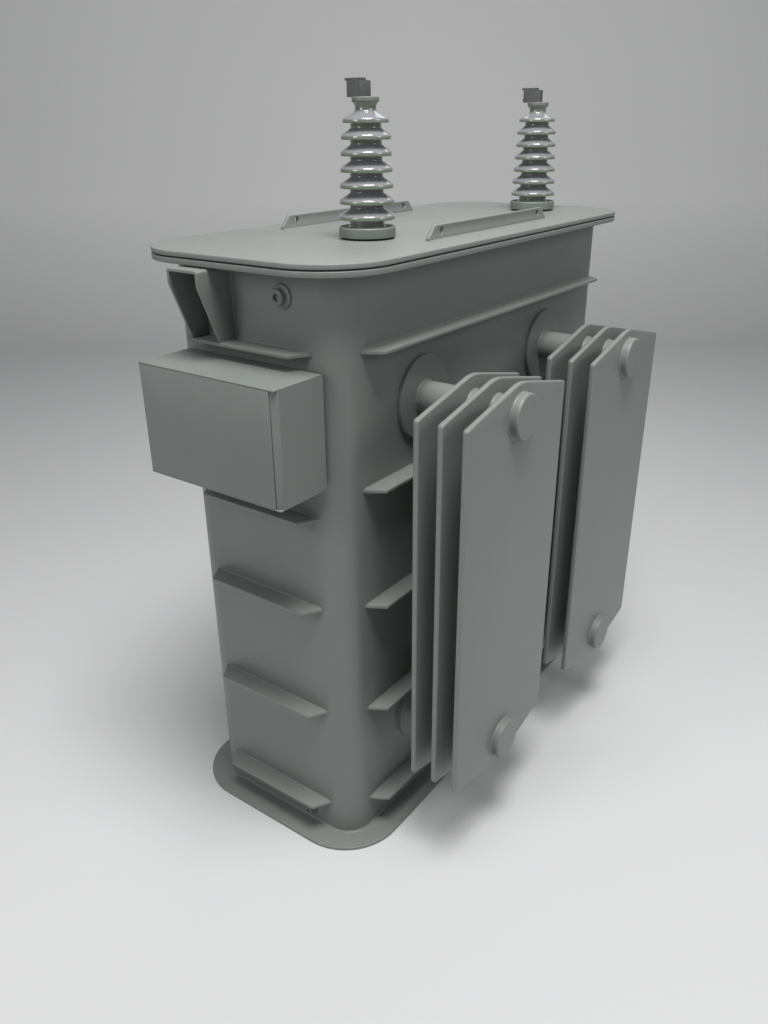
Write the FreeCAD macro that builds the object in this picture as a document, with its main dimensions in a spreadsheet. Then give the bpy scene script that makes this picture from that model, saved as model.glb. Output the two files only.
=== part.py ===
import FreeCAD, Part
import os
import re
import Sketcher

# Single-phase oil-filled transformer for a pad: ribbed tank, bolted cover with two
# high-voltage bushings, two bolted-on radiators and a low-voltage control box.
# Frame: Z up, origin at the centre of the base plate's underside. The control box is on the
# narrow front wall (-Y) and the radiators are on the right-hand long wall (+X).

doc = FreeCAD.newDocument("Transformer")
sheet = doc.addObject("Spreadsheet::Sheet", "Sizes")

sizes = {
    # tank
    "tank_width": 564, "tank_length": 1464, "tank_corner": 80, "tank_wall": 6,
    "base_thick": 10, "base_overhang": 75, "base_corner": 180,
    "cover_top": 1702, "cover_thick": 12, "seal_thick": 4, "seal_recess": 3,
    "rim_thick": 14, "rim_overhang": 75, "rim_corner": 180,
    # cover bolts, screwed up from under the rim
    "bolt_radius": 6, "bolt_slack": 0.5, "bolt_bite": 9, "bolt_head": 10.5, "bolt_head_high": 8,
    "bolt_from_wall": 20, "bolt_pitch_end": 180, "bolt_pitch_side": 160,
    # stiffening ribs
    "rib_thick": 10, "rib_reach": 53, "rib_setback": 33,
    "rib_low": 117, "rib_over_pad": 25, "rib_under_pad": 67, "rib_drop": 212,
    "rib_below_box": 95,
    # lifting bars on the cover
    "bar_offset": 250, "bar_centre": 10, "bar_half": 330, "bar_high": 36, "bar_slope": 28,
    "bar_thick": 12,
    "bar_eye": 9, "bar_eye_inset": 58, "bar_eye_rise": 22,
    # lifting brackets on the end walls
    "bracket_centre": 99.5, "bracket_width": 104, "bracket_reach": 109, "bracket_drop": 34,
    "bracket_lip": 37, "bracket_foot": 52, "bracket_plate": 7, "bracket_bend": 7,
    # screwed plugs
    "fill_x": 117, "fill_drop": 90, "fill_pad": 29.5, "fill_neck": 20, "fill_shank": 13,
    "fill_head": 19.5, "fill_socket": 9.8,
    "drain_x": 122, "drain_level": 53, "drain_pad": 14, "drain_neck": 13, "drain_shank": 10.4,
    "drain_head": 12.5, "drain_socket": 6.9,
    "plug_pad_thick": 6, "plug_neck_long": 6, "plug_washer": 2, "plug_head_long": 9,
    "plug_socket_deep": 7, "plug_past_wall": 8, "plug_fit": 0.05,
    # earthing stud
    "earth_x": 150, "earth_level": 72, "earth_pad": 20, "earth_pad_thick": 8, "earth_bolt": 6,
    "earth_bolt_long": 30, "earth_nut": 10,
    # radiators
    "radiator_near": 388, "radiator_far": 317, "panel_width": 508, "panel_thick": 16,
    "panel_sheet": 2, "panel_first": 152, "panel_pitch": 68, "header_low": 314,
    "header_drop": 388, "panel_past": 30, "panel_peak": 57, "panel_crown": 150,
    "panel_shoulder": 9, "header_radius": 44.5,
    "header_wall": 3, "pad_radius": 114, "pad_thick": 12, "cap_radius": 60, "cap_thick": 24,
    "cap_wall": 4, "cap_round": 6,
    # high-voltage bushings
    "bushing_x": 82, "bushing_near": 352, "bushing_far": 592, "cover_hole": 40,
    "bushing_seal": 5, "bushing_seal_radius": 67, "ring_radius": 74.5, "ring_thick": 26,
    "foot_radius": 50, "spigot_radius": 36, "spigot_long": 150, "stem_radius": 10,
    "stem_slack": 0.5, "stem_below": 215, "stem_tip": 6, "shed_first": 48, "shed_pitch": 38,
    "shed_radius": 73.5, "shed_taper": 1.9, "shed_top_radius": 59, "shed_rim": 12,
    "shed_slope": 11, "trunk_low": 46, "trunk_high": 39, "neck_radius": 26.5,
    "neck_top": 324, "top_cap_radius": 34.5, "top_cap_thick": 11, "top_cap_round": 1.5,
    # line terminals on the bushings
    "clamp_left": 51, "clamp_split": 12, "clamp_right": 10, "clamp_half": 10,
    "clamp_high": 43, "hook_left": 57, "hook_back": 5, "hook_thick": 6, "hook_gap": 0.5,
    "clamp_bolt": 3, "clamp_bolt_head": 5.5, "clamp_bolt_head_long": 4, "clamp_bolt_bite": 5,
    "clamp_bolt_rise": 8,
    # control box
    "box_left": 212, "box_right": 240, "box_drop": 255, "box_tall": 292, "box_deep": 168,
    "box_sheet": 3, "frame_thick": 10, "frame_inset": 18, "frame_band": 22, "door_sheet": 2.5,
    "door_gap": 0.6, "door_flange": 13, "grip": 16, "jamb": 3, "door_behind": 0.3,
    "sill_band": 18, "seal_band": 8, "seal_margin": 4, "seal_give": 0.4,
    "hinge_knuckle": 4.5, "hinge_pin": 2.5, "hinge_fit": 0.05, "hinge_half": 32,
    "hinge_middle": 11, "hinge_play": 0.5, "hinge_spacing": 90, "hinge_leaf": 2,
    "hinge_leaf_wide": 24, "hinge_door_leaf": 9, "hinge_clear": 3,
    "window_half": 130, "window_from_top": 35, "window_tall": 130,
    # cable entry
    "gland_plate_half": 120, "gland_plate_deep": 100, "gland_plate_thick": 4,
    "gland_slot_inset": 16, "gland_from_wall": 62, "gland_spacing": 60, "gland_bore": 11,
    "gland_body": 16, "gland_flange": 20, "gland_flange_long": 8, "gland_long": 34,
    "gland_inside": 12,
    # low-voltage bushings and terminal rail
    "lv_spacing": 75, "lv_drop": 100, "lv_body": 20, "lv_flange": 30, "lv_flange_thick": 8,
    "lv_outside": 72, "lv_inside": 30, "lv_stud": 8, "lv_stud_outside": 108,
    "lv_stud_inside": 60, "lv_nut": 13, "lv_nut_long": 10,
    "rail_rise": 72, "rail_half": 140, "rail_high": 35, "rail_thick": 8,
    "block_wide": 14, "block_high": 46, "block_deep": 40, "block_pitch": 24,
    # core and windings
    "core_low": 100, "limb_pitch": 560, "oil_above_core": 262, "yoke_high": 190,
    "step_wide": 190, "step_middle": 160, "step_narrow": 120,
    "step_thick_wide": 110, "step_thick_middle": 150, "step_thick_narrow": 190,
    "lv_inner": 118, "lv_outer": 150, "barrier_inner": 156, "barrier_outer": 159,
    "hv_inner": 165, "hv_outer": 215, "ring_high": 25,
    "clamp_beam": 30, "clamp_beam_high": 140, "clamp_beam_half": 360, "foot_size": 60,
    "foot_from_centre": 290, "tie_radius": 8, "tie_half": 45,
    # leads from the windings
    "lead_radius": 7, "lead_bar": 8, "lead_bar_high": 30, "hv_lead_x": 180, "hv_lead_y": 330,
    "hv_lead_turn": 30, "lv_lead_x": 235, "lv_lead_end": 20,
}

# lengths worked out from the driving sizes
derived = {
    "half_width": "tank_width / 2",
    "half_length": "tank_length / 2",
    "inner_half_width": "half_width - tank_wall",
    "inner_half_length": "half_length - tank_wall",
    "rim_top": "cover_top - cover_thick - seal_thick",
    "rib_high": "cover_top - rib_drop",
    "rib_second": "header_low + pad_radius + rib_over_pad",
    "rib_third": "(rib_second + rib_fourth) / 2",
    "rib_fourth": "header_high - pad_radius - rib_under_pad",
    "rib_under_box": "box_low - rib_below_box",
    "bracket_top": "cover_top - bracket_drop",
    "fill_level": "cover_top - fill_drop",
    "rim_under": "rim_top - rim_thick",
    "header_high": "cover_top - header_drop",
    "panel_face": "panel_thick / 2",
    "panel_low": "header_low - panel_past",
    "panel_high": "header_high + panel_past",
    "outer_panel": "half_width + panel_first + 2 * panel_pitch",
    "ring_low": "cover_top + bushing_seal",
    "cap_low": "cover_top + neck_top",
    "clamp_low": "cap_low + top_cap_thick",
    "clamp_top": "clamp_low + clamp_high",
    "box_high": "cover_top - box_drop",
    "box_low": "box_high - box_tall",
    "window_high": "box_high - window_from_top",
    "window_low": "window_high - window_tall",
    "lv_level": "box_high - lv_drop",
    "rail_level": "box_low + rail_rise",
    "box_back": "half_length + frame_thick",
    "box_front": "box_back + box_deep",
    "door_right": "box_right - grip",
    "door_low": "box_low + box_sheet + door_gap",
    "door_high": "box_high - box_sheet - door_gap",
    "door_inner": "box_front - door_sheet",
    "sill": "box_front - door_flange - door_gap",
    "hinge_x": "box_left + hinge_knuckle + hinge_play",
    "hinge_y": "sill + hinge_clear / 2",
    "box_middle": "(box_low + box_high) / 2",
    "limb_y": "limb_pitch / 2",
    "window_bottom": "core_low + yoke_high",
    "core_top": "cover_top - oil_above_core",
    "window_top": "core_top - yoke_high",
    "coil_low": "window_bottom + ring_high",
    "coil_high": "window_top - ring_high",
    "clamp_beam_low": "core_low + (yoke_high - clamp_beam_high) / 2",
    "clamp_beam_upper": "window_top + (yoke_high - clamp_beam_high) / 2",
    "stem_bottom": "cover_top - stem_below",
}


def fill_sheet():
    """Write each driving size into the spreadsheet under its own alias."""
    for row, (name, number) in enumerate(sizes.items(), start=1):
        sheet.set("A%d" % row, name)
        sheet.set("B%d" % row, str(number))
        sheet.setAlias("B%d" % row, name)
    doc.recompute()


def rule(text):
    """Turn a rule in plain size names into an expression on the spreadsheet."""
    def swap(match):
        word = match.group(0)
        if word in derived:
            return "(" + rule(derived[word]) + ")"
        return "Sizes." + word if word in sizes else word
    return re.sub(r"[a-z][a-z_0-9]*", swap, str(text))


def value(text):
    """Number that a rule gives with the present sizes."""
    return float(sheet.evalExpression(rule(text)))


def bind(thing, setting, text):
    thing.setExpression(setting, rule(text))


turns = {
    "up": FreeCAD.Rotation(),
    "front": FreeCAD.Rotation(FreeCAD.Vector(1, 0, 0), 90),
    "rear": FreeCAD.Rotation(FreeCAD.Vector(1, 0, 0), -90),
    "right": FreeCAD.Rotation(FreeCAD.Vector(0, 1, 0), 90),
    "left": FreeCAD.Rotation(FreeCAD.Vector(0, 1, 0), -90),
}


def place(thing, x, y, z, facing="up"):
    """Stand a piece at a point, its own Z axis facing the named way."""
    thing.Placement = FreeCAD.Placement(FreeCAD.Vector(), turns[facing])
    for axis, text in zip("xyz", (x, y, z)):
        bind(thing, "Placement.Base." + axis, text)
    return thing


def named(kind, name):
    thing = doc.addObject(kind, name)
    thing.Label = name
    return thing


def block(name, low, high):
    """Box between two corners."""
    box = named("Part::Box", name)
    for setting, a, b in zip(("Length", "Width", "Height"), low, high):
        bind(box, setting, "(%s) - (%s)" % (b, a))
    return place(box, *low)


def rod(name, radius, length, at, facing="up"):
    """Cylinder that starts at a point and runs the way it faces."""
    bar = named("Part::Cylinder", name)
    bind(bar, "Radius", radius)
    bind(bar, "Height", length)
    return place(bar, *at, facing)


def hexagon(name, radius, length, at, facing="up"):
    """Six-sided prism with the given corner radius."""
    prism = named("Part::Prism", name)
    prism.Polygon = 6
    bind(prism, "Circumradius", radius)
    bind(prism, "Height", length)
    return place(prism, *at, facing)


def joined(name, pieces):
    whole = named("Part::MultiFuse", name)
    whole.Shapes = pieces
    return whole


def group(name, pieces):
    """Separate solids kept as one node."""
    whole = named("Part::Compound", name)
    whole.Links = pieces
    return whole


def cut(name, base, tools):
    """Base with every tool taken out of it."""
    rest = named("Part::Cut", name)
    rest.Base = base
    rest.Tool = tools[0] if len(tools) == 1 else joined(name + "_tools", tools)
    return rest


def plane_of(body, role):
    return next(f for f in body.Origin.OriginFeatures if f.Role == role)


def new_body(name):
    return named("PartDesign::Body", name)


def outline(body, role, name, corners, offset="0"):
    """Closed polygon sketch, each corner bound to its two rules."""
    sketch = body.newObject("Sketcher::SketchObject", name)
    sketch.AttachmentSupport = [(plane_of(body, role), "")]
    sketch.MapMode = "FlatFace"
    bind(sketch, ".AttachmentOffset.Base.z", offset)
    points = [FreeCAD.Vector(value(a), value(b), 0) for a, b in corners]
    count = len(points)
    for i in range(count):
        sketch.addGeometry(Part.LineSegment(points[i], points[(i + 1) % count]))
    for i in range(count):
        sketch.addConstraint(Sketcher.Constraint("Coincident", i, 2, (i + 1) % count, 1))
    for i, (a, b) in enumerate(corners):
        for kind, text, number in (("DistanceX", a, points[i].x), ("DistanceY", b, points[i].y)):
            index = sketch.addConstraint(Sketcher.Constraint(kind, -1, 1, i, 1, number))
            bind(sketch, "Constraints[%d]" % index, text)
    return sketch


def rectangle(x_low, y_low, x_high, y_high):
    return [(x_low, y_low), (x_high, y_low), (x_high, y_high), (x_low, y_high)]


def pad(body, sketch, length, middle=False):
    """Raise a sketch into a solid, from its plane or to both sides of it."""
    feature = body.newObject("PartDesign::Pad", sketch.Name + "_pad")
    feature.Profile = sketch
    bind(feature, "Length", length)
    if middle:
        feature.SideType = "Symmetric"
    doc.recompute()
    return feature


def pocket(body, sketch):
    """Cut a sketch right through the body, both ways."""
    before = body.Shape.Volume
    feature = body.newObject("PartDesign::Pocket", sketch.Name + "_pocket")
    feature.Profile = sketch
    feature.Type = "ThroughAll"
    feature.SideType = "Symmetric"
    doc.recompute()
    if not body.Shape.Volume < before:
        raise RuntimeError(sketch.Name + " cuts nothing")
    return feature


def round_edges(body, feature, radius, wanted):
    """Fillet the straight edges of a feature that the test picks."""
    picked = ["Edge%d" % (i + 1) for i, edge in enumerate(feature.Shape.Edges) if wanted(edge)]
    fillet = body.newObject("PartDesign::Fillet", feature.Name + "_round")
    fillet.Base = (feature, picked)
    bind(fillet, "Radius", radius)
    doc.recompute()
    return fillet


def upright(edge):
    ends = edge.Vertexes
    run = ends[-1].Point.sub(ends[0].Point)
    return abs(run.z) > 0.99 * run.Length


def rounded_slab(name, half_x, half_y, corner, low, thick):
    """Flat slab with rounded corners in plan."""
    body = new_body(name)
    corners = rectangle("-(%s)" % half_x, "-(%s)" % half_y, half_x, half_y)
    slab = pad(body, outline(body, "XY_Plane", name + "_plan", corners), thick)
    round_edges(body, slab, corner, upright)
    return place(body, 0, 0, low)


def turned(name, profile, at, facing="up"):
    """Piece turned from a profile of radius and height pairs."""
    body = new_body(name)
    sketch = outline(body, "XZ_Plane", name + "_profile", profile)
    feature = body.newObject("PartDesign::Revolution", name + "_turned")
    feature.Profile = sketch
    feature.ReferenceAxis = (sketch, ["V_Axis"])
    feature.Angle = 360
    return place(body, *at, facing)


def tube(name, outer, inner, length, at, facing="up"):
    profile = [(inner, 0), (outer, 0), (outer, length), (inner, length)]
    return turned(name, profile, at, facing)


sides = {"near": "-bushing_near", "far": "bushing_far"}


def bolt_places():
    """Cover bolt centres: three along each end, nine along each side."""
    along_x = "half_width + bolt_from_wall"
    along_y = "half_length + bolt_from_wall"
    for step in (-1, 0, 1):
        for sign in ("", "-"):
            yield "%d * bolt_pitch_end" % step, "%s(%s)" % (sign, along_y)
    for step in range(-4, 5):
        for sign in ("", "-"):
            yield "%s(%s)" % (sign, along_x), "%d * bolt_pitch_side" % step


def bolt_holes(name, radius, low, length):
    return [rod("%s_hole_%d" % (name, i), radius, length, (x, y, low))
            for i, (x, y) in enumerate(bolt_places())]


def base_plate():
    return rounded_slab("base_plate", "half_width + base_overhang",
                        "half_length + base_overhang", "base_corner", 0, "base_thick")


def tank_shell():
    high = "rim_top - base_thick"
    outside = rounded_slab("tank_outside", "half_width", "half_length", "tank_corner",
                           "base_thick", high)
    inside = rounded_slab("tank_inside", "inner_half_width", "inner_half_length",
                          "tank_corner - tank_wall", "base_thick", high)
    tools = [inside]
    depth = "2 * tank_wall"
    front = "tank_wall - half_length"
    for y, name in (("-radiator_near", "near"), ("radiator_far", "far")):
        for z, level in (("header_low", "low"), ("header_high", "high")):
            tools.append(rod("wall_port_%s_%s" % (name, level), "header_radius", depth,
                             ("half_width - 1.5 * tank_wall", y, z), "right"))
    for kind in ("fill", "drain"):
        tools.append(rod("wall_port_" + kind, kind + "_shank + 1", depth,
                         (kind + "_x", front, kind + "_level"), "front"))
    for sign in (-1, 1):
        tools.append(rod("wall_port_lv_%d" % sign, "lv_body", depth,
                         ("%d * lv_spacing" % sign, front, "lv_level"), "front"))
    return cut("tank_shell", outside, tools)


def rim_flange():
    outside = rounded_slab("rim_outside", "half_width + rim_overhang",
                           "half_length + rim_overhang", "rim_corner", "rim_under", "rim_thick")
    inside = rounded_slab("rim_inside", "half_width", "half_length", "tank_corner",
                          "rim_under", "rim_thick")
    holes = bolt_holes("rim", "bolt_radius + bolt_slack", "rim_under", "rim_thick")
    return cut("rim_flange", outside, [inside] + holes)


def cover_gasket():
    edge = "rim_overhang - seal_recess"
    outside = rounded_slab("gasket_outside", "half_width + " + edge, "half_length + " + edge,
                           "rim_corner - seal_recess", "rim_top", "seal_thick")
    inside = rounded_slab("gasket_inside", "inner_half_width", "inner_half_length",
                          "tank_corner - tank_wall", "rim_top", "seal_thick")
    holes = bolt_holes("gasket", "bolt_radius + bolt_slack", "rim_top", "seal_thick")
    return cut("cover_gasket", outside, [inside] + holes)


def cover_plate():
    low = "cover_top - cover_thick"
    plate = rounded_slab("cover_blank", "half_width + rim_overhang",
                         "half_length + rim_overhang", "rim_corner", low, "cover_thick")
    tools = bolt_holes("cover", "bolt_radius", low, "bolt_bite")
    for side, y in sides.items():
        tools.append(rod("cover_port_" + side, "cover_hole", "cover_thick",
                         ("bushing_x", y, low)))
    return cut("cover_plate", plate, tools)


def cover_bolts():
    bolts = []
    shank = "rim_thick + seal_thick + bolt_bite"
    for i, (x, y) in enumerate(bolt_places()):
        head = hexagon("bolt_head_%d" % i, "bolt_head", "bolt_head_high",
                       (x, y, "rim_under - bolt_head_high"))
        stem = rod("bolt_stem_%d" % i, "bolt_radius", shank, (x, y, "rim_under"))
        bolts.append(joined("cover_bolt_%d" % i, [head, stem]))
    return group("cover_bolts", bolts)


def rib(name, along_x, sign, level):
    """Flat rib on one wall, as long as the flat of the wall, with its ends cut back."""
    body = new_body(name)
    run = "(%s - tank_corner)" % ("half_width" if along_x else "half_length")
    wall = "half_length" if along_x else "half_width"
    tip = "(%s - rib_setback)" % run
    reach = "(%s + rib_reach)" % wall
    corners = [("-" + run, wall), (run, wall), (tip, reach), ("-" + tip, reach)]
    if sign < 0:
        corners = [(a, "-(%s)" % b) for a, b in corners]
    if not along_x:
        corners = [(b, a) for a, b in corners]
    pad(body, outline(body, "XY_Plane", name + "_plan", corners), "rib_thick")
    return place(body, 0, 0, level + " - rib_thick")


def rib_group(name, along_x, levels_by_sign):
    ribs = []
    for sign, levels in levels_by_sign.items():
        for level in levels:
            side = "minus" if sign < 0 else "plus"
            ribs.append(rib("%s_%s_%s" % (name, side, level), along_x, sign, level))
    return group(name, ribs)


def ribs():
    plain = ("rib_low", "rib_second", "rib_third", "rib_fourth", "rib_high")
    front = ("rib_low", "rib_second", "rib_third", "rib_under_box", "rib_high")
    return [rib_group("end_ribs", True, {-1: front, 1: plain}),
            rib_group("side_ribs", False, {-1: plain, 1: plain})]


def lifting_bar(name, sign):
    """Flat bar on edge, welded to the cover, with a lifting eye at each end."""
    body = new_body(name)
    tip = "(bar_half - bar_slope)"
    corners = [("-bar_half", 0), ("bar_half", 0), ("bar_half", "bar_thick / 2"),
               (tip, "bar_high"), ("-" + tip, "bar_high"), ("-bar_half", "bar_thick / 2")]
    pad(body, outline(body, "YZ_Plane", name + "_side", corners), "bar_thick", middle=True)
    place(body, "%d * bar_offset" % sign, "bar_centre", "cover_top")
    eyes = [rod("%s_eye_%d" % (name, end), "bar_eye", "2 * bar_thick",
                ("%d * bar_offset - bar_thick" % sign,
                 "bar_centre + %d * (bar_half - bar_eye_inset)" % end,
                 "cover_top + bar_eye_rise"), "right") for end in (-1, 1)]
    body.Label = name + "_blank"
    return cut(name, body, eyes)


def lifting_bracket(name, sign):
    """Bent plate bracket, open in front and below, standing on the top rib."""
    body = new_body(name)
    wall = "half_length"
    out = "(half_length + bracket_reach)"
    side = [(wall, "bracket_top"), (out, "bracket_top"), (out, "bracket_top - bracket_lip"),
            ("half_length + bracket_foot", "rib_high"), (wall, "rib_high")]
    if sign < 0:
        side = [("-(%s)" % a, b) for a, b in side]
    block_pad = pad(body, outline(body, "YZ_Plane", name + "_side", side), "bracket_width",
                    middle=True)
    top = value("bracket_top")

    def bent(edge):
        middle = edge.BoundBox.Center
        return abs(middle.z - top) < 0.1 and edge.BoundBox.YLength > value("bracket_plate")

    round_edges(body, block_pad, "bracket_bend", bent)
    inner = "(bracket_width / 2 - bracket_plate)"
    hollow = rectangle("-" + inner, "rib_high - bracket_plate", inner,
                       "bracket_top - bracket_plate")
    pocket(body, outline(body, "XZ_Plane", name + "_hollow", hollow))
    return place(body, "%d * bracket_centre" % sign, 0, 0)


def plug_set(kind, label):
    """Welded boss, sealing washer and socket-headed screw plug, all on one axis."""
    x, level, shank = kind + "_x", kind + "_level", kind + "_shank"
    wall = "-half_length"
    bore = "(%s + plug_fit)" % shank
    neck_end = "(plug_pad_thick + plug_neck_long)"
    boss = turned(label + "_boss", [
        (bore, 0), (kind + "_pad", 0), (kind + "_pad", "plug_pad_thick"),
        (kind + "_neck", "plug_pad_thick"), (kind + "_neck", neck_end), (bore, neck_end)],
        (x, wall, level), "front")
    face = "-half_length - %s" % neck_end
    washer = tube(label + "_washer", kind + "_head - 1", bore, "plug_washer",
                  (x, face, level), "front")
    under = "-(%s + plug_washer + tank_wall + plug_past_wall)" % neck_end
    screw = turned(label + "_screw", [
        (0, under), (shank, under), (shank, 0), (kind + "_head", 0),
        (kind + "_head", "plug_head_long"), (0, "plug_head_long")],
        (x, face + " - plug_washer", level), "front")
    socket = hexagon(label + "_socket", kind + "_socket", "plug_socket_deep",
                     (x, face + " - plug_washer - plug_head_long + plug_socket_deep", level),
                     "front")
    return [boss, washer, cut(label + "_plug", screw, [socket])]


def earth_stud():
    """Welded pad with a stud and nut for the earthing conductor, on the rear wall."""
    at = ("-earth_x", "half_length", "earth_level")
    pad_disc = rod("earth_pad_disc", "earth_pad", "earth_pad_thick", at, "rear")
    stud = rod("earth_thread", "earth_bolt", "earth_pad_thick + earth_bolt_long", at, "rear")
    nut = hexagon("earth_hex", "earth_nut", "earth_bolt",
                  ("-earth_x", "half_length + earth_pad_thick", "earth_level"), "rear")
    return joined("earth_stud", [pad_disc, stud, nut])


def panel_outline(inset):
    half = "(panel_width / 2 - %s)" % inset
    low, high = "(panel_low + %s)" % inset, "(panel_high - %s)" % inset
    return [("-" + half, low), (0, "%s - panel_peak" % low), (half, low),
            (half, high), (0, "%s + panel_peak" % high), ("-" + half, high)]


def crosswise(edge):
    box = edge.BoundBox
    return box.XLength > 1 and box.YLength + box.ZLength < 0.1


def at_peak(edge):
    return crosswise(edge) and abs(edge.BoundBox.Center.y) < 1


def at_shoulder(edge):
    return crosswise(edge) and abs(edge.BoundBox.Center.y) > 0.45 * value("panel_width")


def radiator_panel(name, y, number):
    """Hollow pressed panel with straight sides and bowed gable ends, open at both headers."""
    x = "half_width + panel_first + %d * panel_pitch" % number
    skins = []
    for part, inset, thick in (("outside", "0", "panel_thick"),
                               ("inside", "panel_sheet", "panel_thick - 2 * panel_sheet")):
        body = new_body("%s_%s" % (name, part))
        corners = panel_outline(inset)
        feature = pad(body, outline(body, "YZ_Plane", body.Name + "_face", corners), thick,
                      middle=True)
        feature = round_edges(body, feature, "panel_crown - %s" % inset, at_peak)
        round_edges(body, feature, "panel_shoulder - %s" % inset, at_shoulder)
        skins.append(place(body, x, y, 0))
    ports = [rod("%s_port_%s" % (name, level), "header_radius - header_wall",
                 "2 * panel_thick", (x + " - panel_thick", y, level), "right")
             for level in ("header_low", "header_high")]
    return cut(name, skins[0], [skins[1]] + ports)


def radiators():
    pads, pipes, caps, panels = [], [], [], []
    inner = "header_radius - header_wall"
    spans = [("half_width - tank_wall", "half_width + panel_first - panel_face")]
    for step in (0, 1):
        start = "half_width + panel_first + %d * panel_pitch + panel_face" % step
        spans.append((start, start + " + panel_pitch - panel_thick"))
    for where, y in (("near", "-radiator_near"), ("far", "radiator_far")):
        for level in ("header_low", "header_high"):
            tag = where + "_" + level
            pads.append(tube("pad_" + tag, "pad_radius", "header_radius", "pad_thick",
                             ("half_width", y, level), "right"))
            for i, (start, stop) in enumerate(spans):
                length = "(%s) - (%s)" % (stop, start)
                pipes.append(tube("pipe_%s_%d" % (tag, i), "header_radius", inner, length,
                                  (start, y, level), "right"))
            caps.append(header_cap("cap_" + tag, y, level))
        for i, word in enumerate(("inner", "middle", "outer")):
            panels.append(radiator_panel("radiator_%s_panel_%s" % (where, word), y, i))
    return [group("radiator_pads", pads), group("header_pipes", pipes),
            group("header_caps", caps)] + panels


def header_cap(name, y, level):
    """Dished cap welded over the outer end of a header."""
    inner = "cap_radius - cap_wall"
    return turned(name, [
        (inner, 0), ("cap_radius", 0), ("cap_radius", "cap_thick - cap_round"),
        ("cap_radius - cap_round", "cap_thick"), (0, "cap_thick"),
        (0, "cap_thick - cap_wall"), (inner, "cap_thick - cap_wall")],
        ("outer_panel + panel_face", y, level), "right")


def insulator(name, y):
    """Porcelain with seven sheds that get smaller upwards, on a foot and a spigot."""
    bore = "(stem_radius + stem_slack)"
    base = "-bushing_seal"
    profile = [(bore, "%s - spigot_long" % base), ("spigot_radius", "%s - spigot_long" % base),
               ("spigot_radius", 0), ("foot_radius", 0), ("foot_radius", "ring_thick")]
    count = 7
    for i in range(count):
        trunk = "(trunk_low + (trunk_high - trunk_low) * %d / %d)" % (i, count - 1)
        low = "(shed_first - bushing_seal + %d * shed_pitch)" % i
        rim = "(shed_radius - %d * shed_taper)" % i if i < count - 1 else "shed_top_radius"
        if i == 0:
            profile.append((trunk, "ring_thick"))
        profile += [(trunk, low), (rim, low), (rim, low + " + shed_rim")]
        above = "(trunk_low + (trunk_high - trunk_low) * %d / %d)" % (i + 1, count - 1)
        if i == count - 1:
            above = "neck_radius"
        profile.append((above, low + " + shed_rim + shed_slope"))
    profile += [("neck_radius", "neck_top - bushing_seal"), (bore, "neck_top - bushing_seal")]
    return turned(name, profile, ("bushing_x", y, "ring_low"))


def terminal(side, y):
    """Two-part line clamp: a body on the stem and a hooked jaw bolted against it."""
    half, x = "clamp_half", "bushing_x"
    reach = "clamp_left - clamp_split + clamp_bolt_bite"
    level = "clamp_low + clamp_bolt_rise"
    start = (x + " - clamp_left", y, level)
    bolt_path = rod("bolt_path_" + side, "clamp_bolt", reach, start, "right")
    head = hexagon("clamp_head_" + side, "clamp_bolt_head", "clamp_bolt_head_long",
                   (x + " - clamp_left - clamp_bolt_head_long", y, level), "right")
    bolt = joined("clamp_bolt_" + side,
                  [head, rod("clamp_stem_" + side, "clamp_bolt", reach, start, "right")])
    stem_path = rod("stem_path_" + side, "stem_tip", "2 * clamp_high",
                    (x, y, "clamp_low - clamp_high / 2"))
    front, back = "%s - %s" % (y, half), "%s + %s" % (y, half)
    under_hook = "clamp_top - hook_thick"
    body = block("clamp_body_" + side, (x + " - clamp_split", front, "clamp_low"),
                 (x + " + clamp_right", back, under_hook + " - hook_gap"))
    jaw = block("clamp_jaw_" + side, (x + " - clamp_left", front, "clamp_low"),
                (x + " - clamp_split", back, "clamp_top"))
    hook = block("clamp_hook_" + side, (x + " - hook_left", front, under_hook),
                 (x + " - hook_back", back, "clamp_top"))
    return [cut("terminal_body_" + side, body, [stem_path, bolt_path]),
            cut("terminal_jaw_" + side, joined("jaw_blank_" + side, [jaw, hook]),
                [bolt_path])], bolt


def bushings():
    nodes, bolts, seals, rings, caps = [], [], [], [], []
    for side, y in sides.items():
        nodes.append(insulator("hv_insulator_" + side, y))
        seals.append(tube("seal_" + side, "bushing_seal_radius", "cover_hole", "bushing_seal",
                          ("bushing_x", y, "cover_top")))
        rings.append(tube("ring_" + side, "ring_radius", "foot_radius", "ring_thick",
                          ("bushing_x", y, "ring_low")))
        edge = "top_cap_radius - top_cap_round"
        caps.append(turned("cap_" + side, [
            ("stem_tip", 0), (edge, 0), ("top_cap_radius", "top_cap_round"),
            ("top_cap_radius", "top_cap_thick - top_cap_round"), (edge, "top_cap_thick"),
            ("stem_tip", "top_cap_thick")], ("bushing_x", y, "cap_low")))
        step, top = "cap_low - stem_bottom", "clamp_top - hook_thick - hook_gap - stem_bottom"
        nodes.append(turned("hv_stem_" + side, [
            (0, 0), ("stem_radius", 0), ("stem_radius", step), ("stem_tip", step),
            ("stem_tip", top), (0, top)], ("bushing_x", y, "stem_bottom")))
        clamp, bolt = terminal(side, y)
        nodes += clamp
        bolts.append(bolt)
    return nodes + [group("bushing_gaskets", seals), group("bushing_flanges", rings),
                    group("bushing_caps", caps), group("terminal_bolts", bolts)]


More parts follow.
